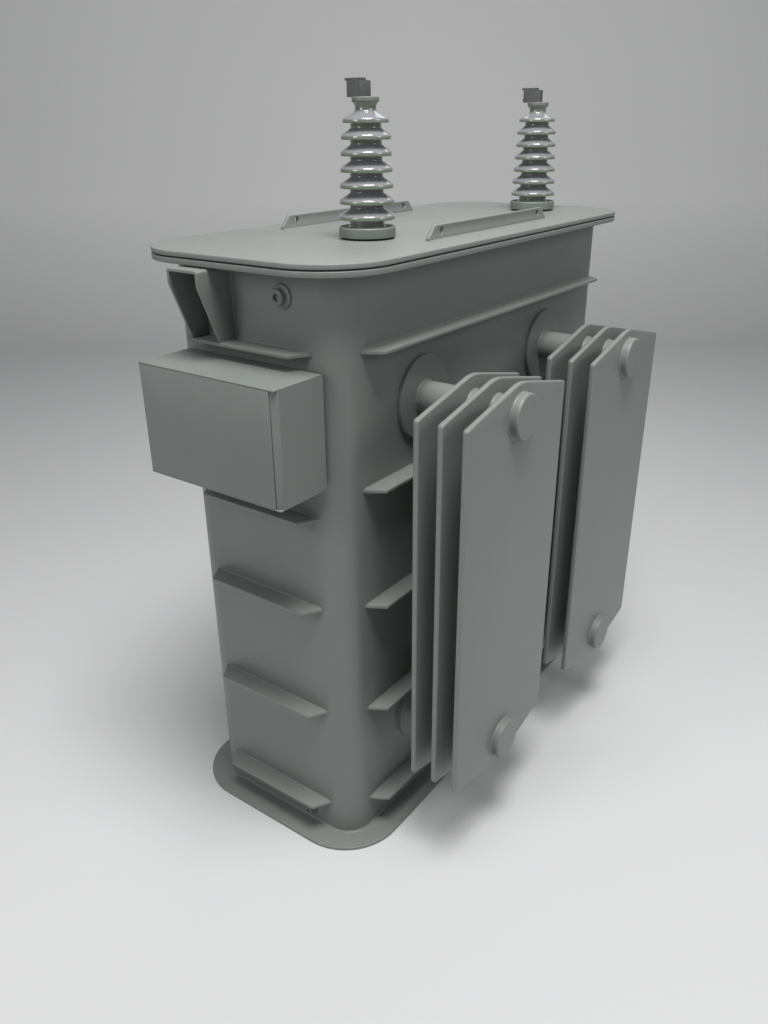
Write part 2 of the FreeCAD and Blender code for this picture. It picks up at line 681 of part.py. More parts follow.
def box_housing():
    """Folded housing: full top and bottom, and a right-hand corner set back as a finger grip."""
    left, right, back, front = "-box_left", "box_right", "-box_back", "-box_front"
    sheet_thick = "box_sheet"
    sill_y = "-(sill)"
    inner_low, inner_high = "box_low + box_sheet", "box_high - box_sheet"
    walls = [
        block("box_top", (left, front, inner_high), (right, back, "box_high")),
        block("box_bottom", (left, front, "box_low"), (right, back, inner_low)),
        block("box_back_wall", (left, back + " - box_sheet", "box_low"),
              (right, back, "box_high")),
        block("box_left_wall", (left, sill_y, "box_low"),
              (left + " + box_sheet", back, "box_high")),
        block("box_right_wall", (right + " - box_sheet", sill_y, "box_low"),
              (right, back, "box_high")),
        block("box_sill", (left, sill_y, "box_low"),
              (right, sill_y + " + box_sheet", "box_high")),
    ]
    jamb_front = "(door_inner - door_behind)"
    grip_body = new_body("box_grip")
    corners = [("box_right", "-(sill)"), ("door_right + jamb", "-" + jamb_front),
               ("door_right", "-" + jamb_front), ("door_right", "-(sill) + box_sheet"),
               ("box_right", "-(sill) + box_sheet")]
    pad(grip_body, outline(grip_body, "XY_Plane", "box_grip_plan", corners),
        "box_high - box_low - 2 * box_sheet")
    place(grip_body, 0, 0, inner_low)
    solid = joined("box_walls", walls + [grip_body])
    mouth = block("box_mouth", (left + " + box_sheet + sill_band", sill_y + " - 1",
                                inner_low + " + sill_band"),
                  ("door_right - sill_band", sill_y + " + 2 * box_sheet",
                   inner_high + " - sill_band"))
    window = block("box_window", ("-window_half", back + " - 2 * " + sheet_thick, "window_low"),
                   ("window_half", back + " + 1", "window_high"))
    slot = block("box_cable_slot",
                 ("-gland_plate_half + gland_slot_inset",
                  back + " - gland_from_wall - gland_plate_deep / 2 + gland_slot_inset",
                  "box_low - 1"),
                 ("gland_plate_half - gland_slot_inset",
                  back + " - gland_from_wall + gland_plate_deep / 2 - gland_slot_inset",
                  "box_low + 2 * box_sheet"))
    return cut("box_housing", solid, [mouth, window, slot])


def box_mounting_frame():
    low = ("-box_left + frame_inset", "-box_back", "box_low + frame_inset")
    high = ("box_right - frame_inset", "-half_length", "box_high - frame_inset")
    outside = block("frame_outside", low, high)
    inside = block("frame_inside", (low[0] + " + frame_band", "-box_back - 1",
                                    low[2] + " + frame_band"),
                   (high[0] + " - frame_band", "1 - half_length", high[2] + " - frame_band"))
    return cut("box_mounting_frame", outside, [inside])


def box_door():
    """Front sheet with a folded left edge that carries the moving hinge knuckles."""
    sheet_piece = block("door_sheet_piece", ("-box_left", "-box_front", "door_low"),
                        ("door_right", "-(door_inner)", "door_high"))
    fold = block("door_fold", ("-box_left", "-box_front", "door_low"),
                 ("-box_left + door_sheet", "-(box_front - door_flange)", "door_high"))
    pieces = [sheet_piece, fold]
    holes = []
    for sign in (-1, 1):
        middle = "box_middle + %d * hinge_spacing" % sign
        low = middle + " - hinge_middle + hinge_play"
        tag = "high" if sign > 0 else "low"
        long = "2 * (hinge_middle - hinge_play)"
        pieces.append(rod("door_knuckle_" + tag, "hinge_knuckle", long,
                          ("-(hinge_x)", "-(hinge_y)", low)))
        pieces.append(block("door_leaf_" + tag,
                            ("-box_left - hinge_leaf", "-(hinge_y + hinge_door_leaf)", low),
                            ("-box_left", "-(hinge_y)", low + " + " + long)))
        holes.append(rod("door_pin_hole_" + tag, "hinge_pin + hinge_fit", "3 * hinge_middle",
                         ("-(hinge_x)", "-(hinge_y)", middle + " - 1.5 * hinge_middle")))
    return cut("box_door", joined("door_blank", pieces), holes)


def door_seal():
    """Sponge strip on the housing's sill, just short of the closed door."""
    low = ("-box_left + box_sheet + seal_margin", "-(door_inner - seal_give)",
           "box_low + box_sheet + seal_margin")
    high = ("door_right - seal_margin", "-(sill)", "box_high - box_sheet - seal_margin")
    outside = block("seal_outside", low, high)
    inside = block("seal_inside", (low[0] + " + seal_band", low[1] + " - 1",
                                   low[2] + " + seal_band"),
                   (high[0] + " - seal_band", "-(sill) + 1", high[2] + " - seal_band"))
    return cut("door_seal", outside, [inside])


def hinges():
    """Fixed leaves with an upper and a lower knuckle each, and the pins they hold."""
    leaves, pins = [], []
    for sign in (-1, 1):
        middle = "box_middle + %d * hinge_spacing" % sign
        tag = "high" if sign > 0 else "low"
        plate = block("leaf_plate_" + tag,
                      ("-box_left - hinge_leaf", "-(sill)", middle + " - hinge_half"),
                      ("-box_left", "-(sill) + hinge_leaf_wide", middle + " + hinge_half"))
        notch = block("leaf_notch_" + tag,
                      ("-box_left - 2 * hinge_leaf", "-(sill) - 1", middle + " - hinge_middle"),
                      ("-box_left + 1", "-(hinge_y) + hinge_knuckle + hinge_play",
                       middle + " + hinge_middle"))
        leaf = [cut("leaf_notched_" + tag, plate, [notch])]
        long = "hinge_half - hinge_middle"
        for end, low in (("under", middle + " - hinge_half"), ("over", middle + " + hinge_middle")):
            at = ("-(hinge_x)", "-(hinge_y)", low)
            leaf.append(rod("knuckle_%s_%s" % (end, tag), "hinge_knuckle", long, at))
            leaf.append(block("knuckle_web_%s_%s" % (end, tag),
                              ("-box_left - hinge_leaf", "-(hinge_y)", low),
                              ("-box_left", "-(sill)", "%s + %s" % (low, long))))
        hole = rod("pin_hole_" + tag, "hinge_pin", "2 * hinge_half",
                   ("-(hinge_x)", "-(hinge_y)", middle + " - hinge_half"))
        leaves.append(cut("leaf_" + tag, joined("leaf_blank_" + tag, leaf), [hole]))
        pins.append(rod("pin_" + tag, "hinge_pin", "2 * hinge_half",
                        ("-(hinge_x)", "-(hinge_y)", middle + " - hinge_half")))
    return [group("hinge_leaves", leaves), group("hinge_pins", pins)]


gland_places = ("-gland_spacing", "gland_spacing")


def gland_plate():
    y = "-box_back - gland_from_wall"
    plate = block("gland_blank",
                  ("-gland_plate_half", y + " - gland_plate_deep / 2",
                   "box_low - gland_plate_thick"),
                  ("gland_plate_half", y + " + gland_plate_deep / 2", "box_low"))
    holes = [rod("gland_hole_%d" % i, "gland_body", "2 * gland_plate_thick",
                 (x, y, "box_low - 1.5 * gland_plate_thick"))
             for i, x in enumerate(gland_places)]
    return cut("gland_plate", plate, holes)


def cable_glands():
    """Two glands through the plate, each with an outer flange and an inside lock ring."""
    inside = "(gland_plate_thick + gland_inside)"
    profile = [("gland_bore", "-gland_long"), ("gland_body", "-gland_long"),
               ("gland_body", "-gland_flange_long"), ("gland_flange", "-gland_flange_long"),
               ("gland_flange", 0), ("gland_body", 0), ("gland_body", "gland_plate_thick"),
               ("gland_flange", "gland_plate_thick"), ("gland_flange", inside),
               ("gland_bore", inside)]
    return group("cable_glands", [
        turned("gland_%d" % i, profile,
               (x, "-box_back - gland_from_wall", "box_low - gland_plate_thick"))
        for i, x in enumerate(gland_places)])


def terminal_rail():
    """Rail with a row of terminal blocks for the small wiring."""
    back = "-box_back - box_sheet"
    pieces = [block("rail_strip", ("-rail_half", back + " - rail_thick",
                                   "rail_level - rail_high / 2"),
                    ("rail_half", back, "rail_level + rail_high / 2"))]
    for step in range(-5, 6):
        x = "%d * block_pitch" % step
        pieces.append(block("rail_block_%d" % (step + 5),
                            (x + " - block_wide / 2", back + " - block_deep",
                             "rail_level - block_high / 2"),
                            (x + " + block_wide / 2", back + " - rail_thick",
                             "rail_level + block_high / 2")))
    return joined("terminal_rail", pieces)


def lv_bushings():
    """Moulded bushings through the tank wall into the control box, and their studs."""
    shells, studs = [], []
    bore = "lv_stud"
    for sign in (-1, 1):
        x = "%d * lv_spacing" % sign
        tag = "right" if sign > 0 else "left"
        shells.append(turned("lv_shell_" + tag, [
            (bore, "-(tank_wall + lv_inside)"), ("lv_body", "-(tank_wall + lv_inside)"),
            ("lv_body", 0), ("lv_flange", 0), ("lv_flange", "lv_flange_thick"),
            ("lv_body", "lv_flange_thick"), ("lv_body", "lv_outside"), (bore, "lv_outside")],
            (x, "-half_length", "lv_level"), "front"))
        inside = "-(tank_wall + lv_stud_inside)"
        studs.append(turned("lv_stud_" + tag, [
            (0, inside), (bore, inside), (bore, "lv_outside"), ("lv_nut", "lv_outside"),
            ("lv_nut", "lv_outside + lv_nut_long"), (bore, "lv_outside + lv_nut_long"),
            (bore, "lv_stud_outside"), (0, "lv_stud_outside")],
            (x, "-half_length", "lv_level"), "front"))
    return [group("lv_bushings", shells), group("lv_studs", studs)]


def core():
    """Two-limb stacked core with three steps in its section."""
    frames = []
    for step in ("wide", "middle", "narrow"):
        wide = "step_" + step
        body = new_body("core_step_" + step)
        half = "(limb_y + %s / 2)" % wide
        trim = "((step_wide - %s) / 2)" % wide
        low, high = "core_low + " + trim, "core_top - " + trim
        pad(body, outline(body, "YZ_Plane", "core_face_" + step,
                          rectangle("-" + half, low, half, high)),
            "step_thick_" + step, middle=True)
        inner = "(limb_y - %s / 2)" % wide
        pocket(body, outline(body, "YZ_Plane", "core_window_" + step,
                             rectangle("-" + inner, "window_bottom - " + trim, inner,
                                       "window_top + " + trim)))
        frames.append(body)
    return joined("core", frames)


def limb_tubes(name, outer, inner, low, high):
    return group(name, [tube("%s_%d" % (name, sign), outer, inner, "(%s) - (%s)" % (high, low),
                             (0, "%d * limb_y" % sign, low)) for sign in (-1, 1)])


def winding_rings():
    """Pressboard rings above and below both windings; the upper ones leave room for the leads."""
    rings = []
    for sign in (-1, 1):
        y = "%d * limb_y" % sign
        rings.append(tube("ring_under_%d" % sign, "hv_outer", "lv_inner", "ring_high",
                          (0, y, "coil_low - ring_high")))
        blank = tube("ring_over_%d" % sign, "hv_outer", "lv_inner", "ring_high",
                     (0, y, "coil_high"))
        hv_hole = rod("hv_lead_hole_%d" % sign, "lead_radius + 2", "ring_high",
                      ("hv_lead_x", "%d * hv_lead_y" % sign, "coil_high"))
        lv_y = "%d * (limb_y + (lv_inner + lv_outer) / 2)" % sign
        notch = block("lv_lead_notch_%d" % sign,
                      ("-lv_lead_end - 2", lv_y + " - lead_bar / 2 - 2", "coil_high"),
                      ("lv_lead_end + 2", lv_y + " + lead_bar / 2 + 2",
                       "coil_high + ring_high"))
        rings.append(cut("ring_cut_%d" % sign, blank, [hv_hole, notch]))
    return group("winding_rings", rings)


def yoke_clamps():
    """Steel beams along both yokes, the lower pair on feet that stand on the tank bottom."""
    pieces = []
    inner = "step_thick_narrow / 2"
    for sx in (-1, 1):
        near, far = (inner, inner + " + clamp_beam")
        xs = (near, far) if sx > 0 else ("-(%s)" % far, "-(%s)" % near)
        rods = [rod("tie_hole_%d_%d" % (sx, sy), "tie_radius", "core_top",
                    ("%d * (%s + clamp_beam / 2)" % (sx, inner), "%d * tie_half" % sy,
                     "base_thick")) for sy in (-1, 1)]
        lower = [block("beam_low_%d" % sx, (xs[0], "-clamp_beam_half", "clamp_beam_low"),
                       (xs[1], "clamp_beam_half", "clamp_beam_low + clamp_beam_high"))]
        for sy in (-1, 1):
            y = "%d * foot_from_centre" % sy
            lower.append(block("beam_foot_%d_%d" % (sx, sy),
                               (xs[0], y + " - foot_size / 2", "base_thick"),
                               (xs[1], y + " + foot_size / 2", "clamp_beam_low")))
        upper = block("beam_high_%d" % sx, (xs[0], "-clamp_beam_half", "clamp_beam_upper"),
                      (xs[1], "clamp_beam_half", "clamp_beam_upper + clamp_beam_high"))
        pieces.append(cut("clamp_low_%d" % sx, joined("clamp_low_blank_%d" % sx, lower), rods))
        pieces.append(cut("clamp_high_%d" % sx, upper, rods))
    return group("yoke_clamps", pieces)


def tie_rods():
    rods = []
    length = "clamp_beam_upper + clamp_beam_high - clamp_beam_low"
    for sx in (-1, 1):
        for sy in (-1, 1):
            x = "%d * (step_thick_narrow / 2 + clamp_beam / 2)" % sx
            rods.append(rod("tie_%d_%d" % (sx, sy), "tie_radius", length,
                            (x, "%d * tie_half" % sy, "clamp_beam_low")))
    return group("tie_rods", rods)


def swept_lead(name, stops, radius, turn):
    """Round conductor along straight runs joined by tangent arcs of one radius."""
    points = [FreeCAD.Vector(*[value(text) for text in stop]) for stop in stops]
    bend = value(turn)
    edges, start = [], points[0]
    for before, corner, after in zip(points, points[1:], points[2:]):
        into = (corner - before).normalize()
        out = (after - corner).normalize()
        back = bend * (1 - into.dot(out)) / into.cross(out).Length
        first, last = corner - into * back, corner + out * back
        towards = (out - into).normalize()
        reach = bend / FreeCAD.Vector(into + out).normalize().dot(out) - bend
        edges.append(Part.LineSegment(start, first).toShape())
        edges.append(Part.Arc(first, corner + towards * reach, last).toShape())
        start = last
    edges.append(Part.LineSegment(start, points[-1]).toShape())
    path = Part.Wire(edges)
    ring = Part.Wire([Part.makeCircle(value(radius), points[0], points[1] - points[0])])
    lead = named("Part::Feature", name)
    lead.Shape = path.makePipeShell([ring], True, False)
    return lead


def hv_leads():
    leads = []
    for side, y in sides.items():
        sign = "-" if side == "near" else ""
        end = "%shv_lead_y" % sign
        stops = [("bushing_x", y, "stem_bottom"),
                 ("bushing_x", y, "stem_bottom - hv_lead_turn"),
                 ("hv_lead_x", end, "stem_bottom - 1.7 * hv_lead_turn"),
                 ("hv_lead_x", end, "coil_high")]
        leads.append(swept_lead("hv_lead_" + side, stops, "lead_radius", "hv_lead_turn / 2"))
    return group("hv_leads", leads)


def lv_leads():
    """Flat bars from the low-voltage windings to the studs in the front wall."""
    end = "(half_length - tank_wall - lv_stud_inside)"
    level = "lv_level - lead_bar_high / 2"
    out = "(limb_y + (lv_inner + lv_outer) / 2)"
    half = "lead_bar / 2"
    pieces = []
    for sign in (-1, 1):
        tag = "rear" if sign > 0 else "front"
        y = "%d * %s" % (sign, out)
        drop = block("lv_drop_" + tag, ("-lv_lead_end", y + " - " + half, "coil_high"),
                     ("lv_lead_end", y + " + " + half, "lv_level + lead_bar_high / 2"))
        stud_x = "%d * lv_spacing" % (-sign)
        side_x = "%d * lv_lead_x" % (-sign)
        tops = [drop]
        if sign < 0:
            tops.append(lead_run("lv_cross_" + tag, "-lv_lead_end", stud_x + " + lv_stud",
                                 y + " - " + half, y + " + " + half, level))
            tops.append(lead_run("lv_run_" + tag, stud_x + " - lv_stud", stud_x + " + lv_stud",
                                 "-" + end, y, level))
        else:
            tops.append(lead_run("lv_cross_" + tag, side_x, "lv_lead_end",
                                 y + " - " + half, y + " + " + half, level))
            tops.append(lead_run("lv_run_" + tag, side_x, side_x + " + lead_bar",
                                 "-" + end, y, level))
            tops.append(lead_run("lv_return_" + tag, side_x, stud_x + " + lv_stud",
                                 "-" + end, "lead_bar - " + end, level))
        pieces.append(joined("lv_lead_" + tag, tops))
    return group("lv_leads", pieces)


def lead_run(name, x_low, x_high, y_low, y_high, level):
    return block(name, (x_low, y_low, level), (x_high, y_high, level + " + lead_bar_high"))


def build():
    coils = [limb_tubes("lv_windings", "lv_outer", "lv_inner", "coil_low", "coil_high"),
             limb_tubes("barrier_cylinders", "barrier_outer", "barrier_inner",
                        "coil_low", "coil_high"),
             limb_tubes("hv_windings", "hv_outer", "hv_inner", "coil_low", "coil_high")]
    nodes = [base_plate(), tank_shell(), rim_flange(), cover_gasket(), cover_plate(),
             cover_bolts(), lifting_bar("lifting_bar_left", -1),
             lifting_bar("lifting_bar_right", 1), lifting_bracket("lifting_bracket_front", -1),
             lifting_bracket("lifting_bracket_rear", 1), earth_stud(), box_mounting_frame(),
             box_housing(), box_door(), door_seal(), gland_plate(), cable_glands(),
             terminal_rail(), core(), winding_rings(), yoke_clamps(), tie_rods(),
             hv_leads(), lv_leads()]
    nodes += ribs() + plug_set("fill", "filler") + plug_set("drain", "drain")
    nodes += radiators() + bushings() + hinges() + lv_bushings() + coils
    return nodes


def check_and_export(nodes):
    doc.recompute()
    for thing in doc.Objects:
        if "Invalid" in thing.State or "Error" in thing.State:
            raise RuntimeError("%s failed: %s" % (thing.Name, thing.State))
    for node in nodes:
        if node.Shape.isNull() or not node.Shape.isValid() or not node.Shape.Solids:
            raise RuntimeError(node.Label + " has no valid solid")
    os.makedirs("parts", exist_ok=True)
    for node in nodes:
        node.Shape.exportStep("parts/%s.step" % node.Label)
    print("%d nodes, %d solids" % (len(nodes), sum(len(n.Shape.Solids) for n in nodes)))


fill_sheet()
check_and_export(build())
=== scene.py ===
import math

import bmesh
import bpy
import numpy as np
from mathutils import Matrix, Vector
from mathutils.geometry import tessellate_polygon


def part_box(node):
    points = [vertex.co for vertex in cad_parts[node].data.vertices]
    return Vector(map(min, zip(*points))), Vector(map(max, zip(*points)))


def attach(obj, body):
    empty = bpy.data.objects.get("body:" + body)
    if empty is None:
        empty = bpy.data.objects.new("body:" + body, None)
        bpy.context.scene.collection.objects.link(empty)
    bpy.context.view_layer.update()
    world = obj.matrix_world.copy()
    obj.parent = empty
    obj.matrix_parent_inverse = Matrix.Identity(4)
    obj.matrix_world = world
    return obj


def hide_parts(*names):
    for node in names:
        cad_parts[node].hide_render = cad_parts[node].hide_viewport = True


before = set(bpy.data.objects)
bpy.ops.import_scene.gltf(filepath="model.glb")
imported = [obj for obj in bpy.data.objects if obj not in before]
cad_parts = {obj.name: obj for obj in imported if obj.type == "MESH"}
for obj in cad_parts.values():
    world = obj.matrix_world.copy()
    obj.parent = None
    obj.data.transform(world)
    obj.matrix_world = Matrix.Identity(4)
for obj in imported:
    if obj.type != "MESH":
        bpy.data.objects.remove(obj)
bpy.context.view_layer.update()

mm = 0.001
root = "transformer"
acrossX = np.array([1.0, 0.0, 0.0])
acrossY = np.array([0.0, 1.0, 0.0])
upZ = np.array([0.0, 0.0, 1.0])


def cadCorners(node):
    low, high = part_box(node)
    return np.array(low), np.array(high)


# ---- surfaces ----

# Each corner of a closed polygon becomes an arc tangent to its two sides.
# The result is the points, and at each point the unit normal that leads out of the material.
def roundedOutline(corners, radii, steps=6):
    corners = np.asarray(corners, float)
    radii = np.broadcast_to(np.asarray(radii, float), len(corners))[:, None]
    before = corners - np.roll(corners, 1, axis=0)
    after = np.roll(corners, -1, axis=0) - corners
    before /= np.linalg.norm(before, axis=1)[:, None]
    after /= np.linalg.norm(after, axis=1)[:, None]
    cross = before[:, 0] * after[:, 1] - before[:, 1] * after[:, 0]
    turn = np.arctan2(cross, (before * after).sum(axis=1))[:, None]
    bulge = np.sign(turn)
    normal = np.stack([before[:, 1], -before[:, 0]], axis=1)
    centre = corners - before * radii * np.tan(np.abs(turn) / 2) - bulge * radii * normal
    angle = np.arctan2(normal[:, 1], normal[:, 0])[:, None] + turn * np.linspace(0, 1, steps + 1)
    normals = np.stack([np.cos(angle), np.sin(angle)], axis=2)
    points = centre[:, None] + (bulge * radii)[:, None] * normals
    return points.reshape(-1, 2), normals.reshape(-1, 2)


def circleOutline(centre, radius, steps=32, hole=False):
    angle = np.linspace(0, 2 * math.pi, steps, endpoint=False) * (-1 if hole else 1)
    spokes = np.stack([np.cos(angle), np.sin(angle)], axis=1)
    return np.asarray(centre) + radius * spokes, -spokes if hole else spokes


def rectangleCorners(lowX, lowY, highX, highY):
    return [(lowX, lowY), (highX, lowY), (highX, highY), (lowX, highY)]


# Collects grids and caps in one mesh. Every closed shell in it is turned to face outwards.
class Shell:
    def __init__(self):
        self.points, self.faces, self.count = [], [], 0

    def put(self, points):
        first = self.count
        self.points.append(np.asarray(points, float).reshape(-1, 3))
        self.count += len(self.points[-1])
        return first

    # Quads between neighbouring rows and columns of a grid of points; either way may wrap round.
    def grid(self, points, wrapRows=False, wrapColumns=True):
        rows, columns = points.shape[:2]
        index = self.put(points) + np.arange(rows * columns).reshape(rows, columns)
        if wrapRows:
            index = np.vstack([index, index[:1]])
        if wrapColumns:
            index = np.hstack([index, index[:, :1]])
        quads = np.stack([index[:-1, :-1], index[:-1, 1:], index[1:, 1:], index[1:, :-1]], axis=2)
        self.faces += quads.reshape(-1, 4).tolist()
        return index

    # Triangles over a flat outline with holes in it.
    def cap(self, loops, starts):
        index = np.concatenate([np.arange(len(loop)) + start
                                for loop, start in zip(loops, starts)])
        flat = [[Vector(point) for point in loop] for loop in loops]
        self.faces += [[int(index[i]) for i in face] for face in tessellate_polygon(flat)]

    def mesh(self, name, smoothAngle=32, merge=1e-6):
        made = bpy.data.meshes.new(name)
        made.from_pydata(np.concatenate(self.points).tolist(), [], self.faces)
        work = bmesh.new()
        work.from_mesh(made)
        bmesh.ops.remove_doubles(work, verts=work.verts, dist=merge)
        bmesh.ops.dissolve_degenerate(work, edges=work.edges, dist=merge)
        bmesh.ops.recalc_face_normals(work, faces=work.faces)
        work.to_mesh(made)
        work.free()
        made.shade_smooth()
        made.set_sharp_from_angle(angle=math.radians(smoothAngle))
        return made

    def piece(self, name, finish, slot, body=root, replaced=(), smoothAngle=32):
        made = bpy.data.objects.new(name, self.mesh(name, smoothAngle))
        bpy.context.scene.collection.objects.link(made)
        made.data.materials.append(finish)
        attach(made, body)
        if replaced:
            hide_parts(*replaced)
        return made


# A flat plate: its outlines are carried up an edge profile of a quarter round, a straight
# side and another quarter round, and both faces are closed around the holes.
def plate(shell, loops, low, high, edge, origin, along, across, edgeSteps=3):
    along, across = np.asarray(along, float), np.asarray(across, float)
    normal = np.cross(along, across)
    quarter = np.linspace(0, math.pi / 2, edgeSteps + 1)
    inset = np.concatenate([edge * np.sin(quarter) - edge, edge * np.cos(quarter) - edge])
    height = np.concatenate([low + edge - edge * np.cos(quarter),
                             high - edge + edge * np.sin(quarter)])
    bottoms, tops, bottomLoops, topLoops = [], [], [], []
    for points, normals in loops:
        flat = points[None] + inset[:, None, None] * normals[None]
        solid = (np.asarray(origin, float) + flat[..., :1] * along + flat[..., 1:] * across
                 + height[:, None, None] * normal)
        index = shell.grid(solid)
        bottoms.append(int(index[0, 0]))
        tops.append(int(index[-1, 0]))
        bottomLoops.append(np.pad(flat[0], ((0, 0), (0, 1))))
        topLoops.append(np.pad(flat[-1], ((0, 0), (0, 1))))
    shell.cap(bottomLoops, bottoms)
    shell.cap(topLoops, tops)


def axisFrame(axis):
    axis = np.asarray(axis, float)
    side = acrossX if abs(axis[0]) < 0.9 else acrossY
    first = np.cross(axis, side)
    first /= np.linalg.norm(first)
    return first, np.cross(axis, first), axis


# A turned piece: a profile of radius and height, carried round an axis. With across, the
# distance between flats, the radius is cut down to a hexagon's wherever flats is true.
def turned(shell, profile, origin, axis, steps=48, closed=True, across=None, flats=None):
    profile = np.asarray(profile, float)
    first, second, axis = axisFrame(axis)
    angle = np.linspace(0, 2 * math.pi, steps, endpoint=False)
    radius = np.repeat(profile[:, :1], steps, axis=1)
    if across:
        flat = across / 2 / np.cos((angle % (math.pi / 3)) - math.pi / 6)
        cutDown = np.minimum(radius, flat[None])
        radius = np.where(np.asarray(flats)[:, None], cutDown, radius)
    points = (np.asarray(origin, float) + radius[..., None]
              * (np.cos(angle)[:, None] * first + np.sin(angle)[:, None] * second)
              + profile[:, 1, None, None] * axis)
    shell.grid(points, wrapRows=closed)


# A straight bar: a closed section carried from one place to another and closed at both ends.
def bar(shell, section, start, stop, across, up):
    section = np.asarray(section, float)
    offsets = section[:, :1] * np.asarray(across) + section[:, 1:] * np.asarray(up)
    index = shell.grid(np.stack([np.asarray(start) + offsets, np.asarray(stop) + offsets]))
    flat = np.pad(section, ((0, 0), (0, 1)))
    shell.cap([flat], [int(index[0, 0])])
    shell.cap([flat], [int(index[1, 0])])


# Section of a weld: two legs along the joined faces and a hollow arc between their tips.
def weldSection(leg, steps=5):
    angle = np.linspace(math.pi / 2, 0, steps + 1)
    hollow = leg - leg * np.stack([np.sin(angle), np.cos(angle)], axis=1)
    hollow *= 0.96
    heel = -0.2 * leg
    return np.vstack([[(heel, leg)], hollow, [(leg, heel), (heel, heel)]])


# ---- finishes ----

# A socket on which sums can be written: each operator adds its Math node.
class Flow:
    def __init__(self, finish, socket):
        self.finish, self.socket = finish, socket

    def sum(self, operation, *values):
        return self.finish.node("ShaderNodeMath", {"operation": operation}, values)

    def __add__(self, other):
        return self.sum("ADD", self, other)

    def __sub__(self, other):
        return self.sum("SUBTRACT", self, other)

    def __rsub__(self, other):
        return self.sum("SUBTRACT", other, self)

    def __mul__(self, other):
        return self.sum("MULTIPLY", self, other)

    def __truediv__(self, other):
        return self.sum("DIVIDE", self, other)

    def __pow__(self, other):
        return self.sum("POWER", self, other)

    __radd__ = __add__
    __rmul__ = __mul__


class Finish:
    def __init__(self, name, **fixed):
        self.material = bpy.data.materials.new(name)
        self.material.use_nodes = True
        self.tree = self.material.node_tree
        self.shader = self.tree.nodes["Principled BSDF"]
        self.place = self.node("ShaderNodeTexCoord", output="Object")
        for socket, value in fixed.items():
            self.feed(self.shader.inputs[socket.replace("_", " ")], value)

    def feed(self, socket, value):
        if isinstance(value, Flow):
            self.tree.links.new(value.socket, socket)
        elif isinstance(value, (tuple, list)) and len(value) == 3 and socket.type == "RGBA":
            socket.default_value = (*value, 1.0)
        else:
            socket.default_value = value

    def node(self, kind, settings=None, inputs=(), output=0):
        made = self.tree.nodes.new(kind)
        for setting, value in (settings or {}).items():
            if setting == "stops":
                while len(made.color_ramp.elements) < len(value):
                    made.color_ramp.elements.new(1.0)
                for element, (position, shade) in zip(made.color_ramp.elements, value):
                    element.position = position
                    element.color = (shade, shade, shade, 1.0)
            else:
                setattr(made, setting, value)
        for key, value in (inputs.items() if isinstance(inputs, dict) else enumerate(inputs)):
            self.feed(made.inputs[key], value)
        return Flow(self, made.outputs[output])

    def noise(self, scale, detail=3.0, rough=0.5, vector=None, shift=0.0):
        vector = vector or self.place
        if shift:
            vector = self.node("ShaderNodeVectorMath", {"operation": "ADD"},
                               (vector, (shift, shift * 0.7, shift * 1.3)))
        return self.node("ShaderNodeTexNoise", None,
                         {"Vector": vector, "Scale": scale, "Detail": detail, "Roughness": rough})

    def ramp(self, value, *stops):
        return self.node("ShaderNodeValToRGB", {"stops": stops}, {0: value})

    def stretch(self, scale):
        return self.node("ShaderNodeMapping", None, {"Vector": self.place, "Scale": scale})

    def blend(self, factor, first, second, kind="MIX"):
        return self.node("ShaderNodeMix", {"data_type": "RGBA", "blend_type": kind},
                         {0: factor, 6: first, 7: second}, output=2)

    def bump(self, height, distance, strength=1.0, under=None):
        values = {"Strength": strength, "Distance": distance, "Height": height}
        if under:
            values["Normal"] = under
        return self.node("ShaderNodeBump", None, values)

    def set(self, **values):
        for socket, value in values.items():
            self.feed(self.shader.inputs[socket.replace("_", " ")], value)
        return self.material


def tint(colour, factor):
    return tuple(min(1.0, part * factor) for part in colour)


# Sprayed paint: a fine orange peel, slow changes of tone from the spray passes, and a trace of
# dust where the surface faces up.
paintLook = {"tone": 0.05, "peel": 0.00007, "peelScale": 420, "wave": 0.00035,
             "dust": 0.06, "dustColour": (0.42, 0.42, 0.40), "gloss": 0.40, "glossChange": 0.14}


def paintFinish(name, colour, shift, gloss=None):
    look = paintLook
    paint = Finish(name, IOR=1.5, Coat_IOR=1.5, Coat_Roughness=0.35)
    slow = paint.noise(2.6, 4.0, 0.55, shift=shift)
    passes = paint.noise(1.0, 3.0, 0.6, vector=paint.stretch((14.0, 14.0, 1.6)), shift=shift + 3)
    fine = paint.noise(95.0, 3.0, 0.6, shift=shift + 5)
    tone = slow * 0.55 + passes * 0.25 + fine * 0.2
    shade = paint.blend(paint.ramp(tone, (0.3, 0.0), (0.7, 1.0)),
                        tint(colour, 1 - look["tone"]), tint(colour, 1 + look["tone"]))
    outward = paint.node("ShaderNodeNewGeometry", output="Normal")
    up = paint.node("ShaderNodeSeparateXYZ", None, (outward,), output="Z")
    settled = (paint.ramp(up, (0.55, 0.0), (0.98, 1.0))
               * paint.ramp(slow, (0.35, 0.25), (0.65, 1.0)))
    shade = paint.blend(settled * look["dust"], shade, look["dustColour"])
    peel = paint.noise(look["peelScale"], 2.0, 0.5, shift=shift)
    wave = paint.noise(9.0, 2.0, 0.4, shift=shift + 2)
    lumps = paint.bump(wave, look["wave"], 0.5)
    rough = (gloss or look["gloss"]) + (fine - 0.5) * look["glossChange"] + settled * 0.12
    return paint.set(Base_Color=shade, Roughness=rough,
                     Normal=paint.bump(peel, look["peel"], 0.8, lumps))


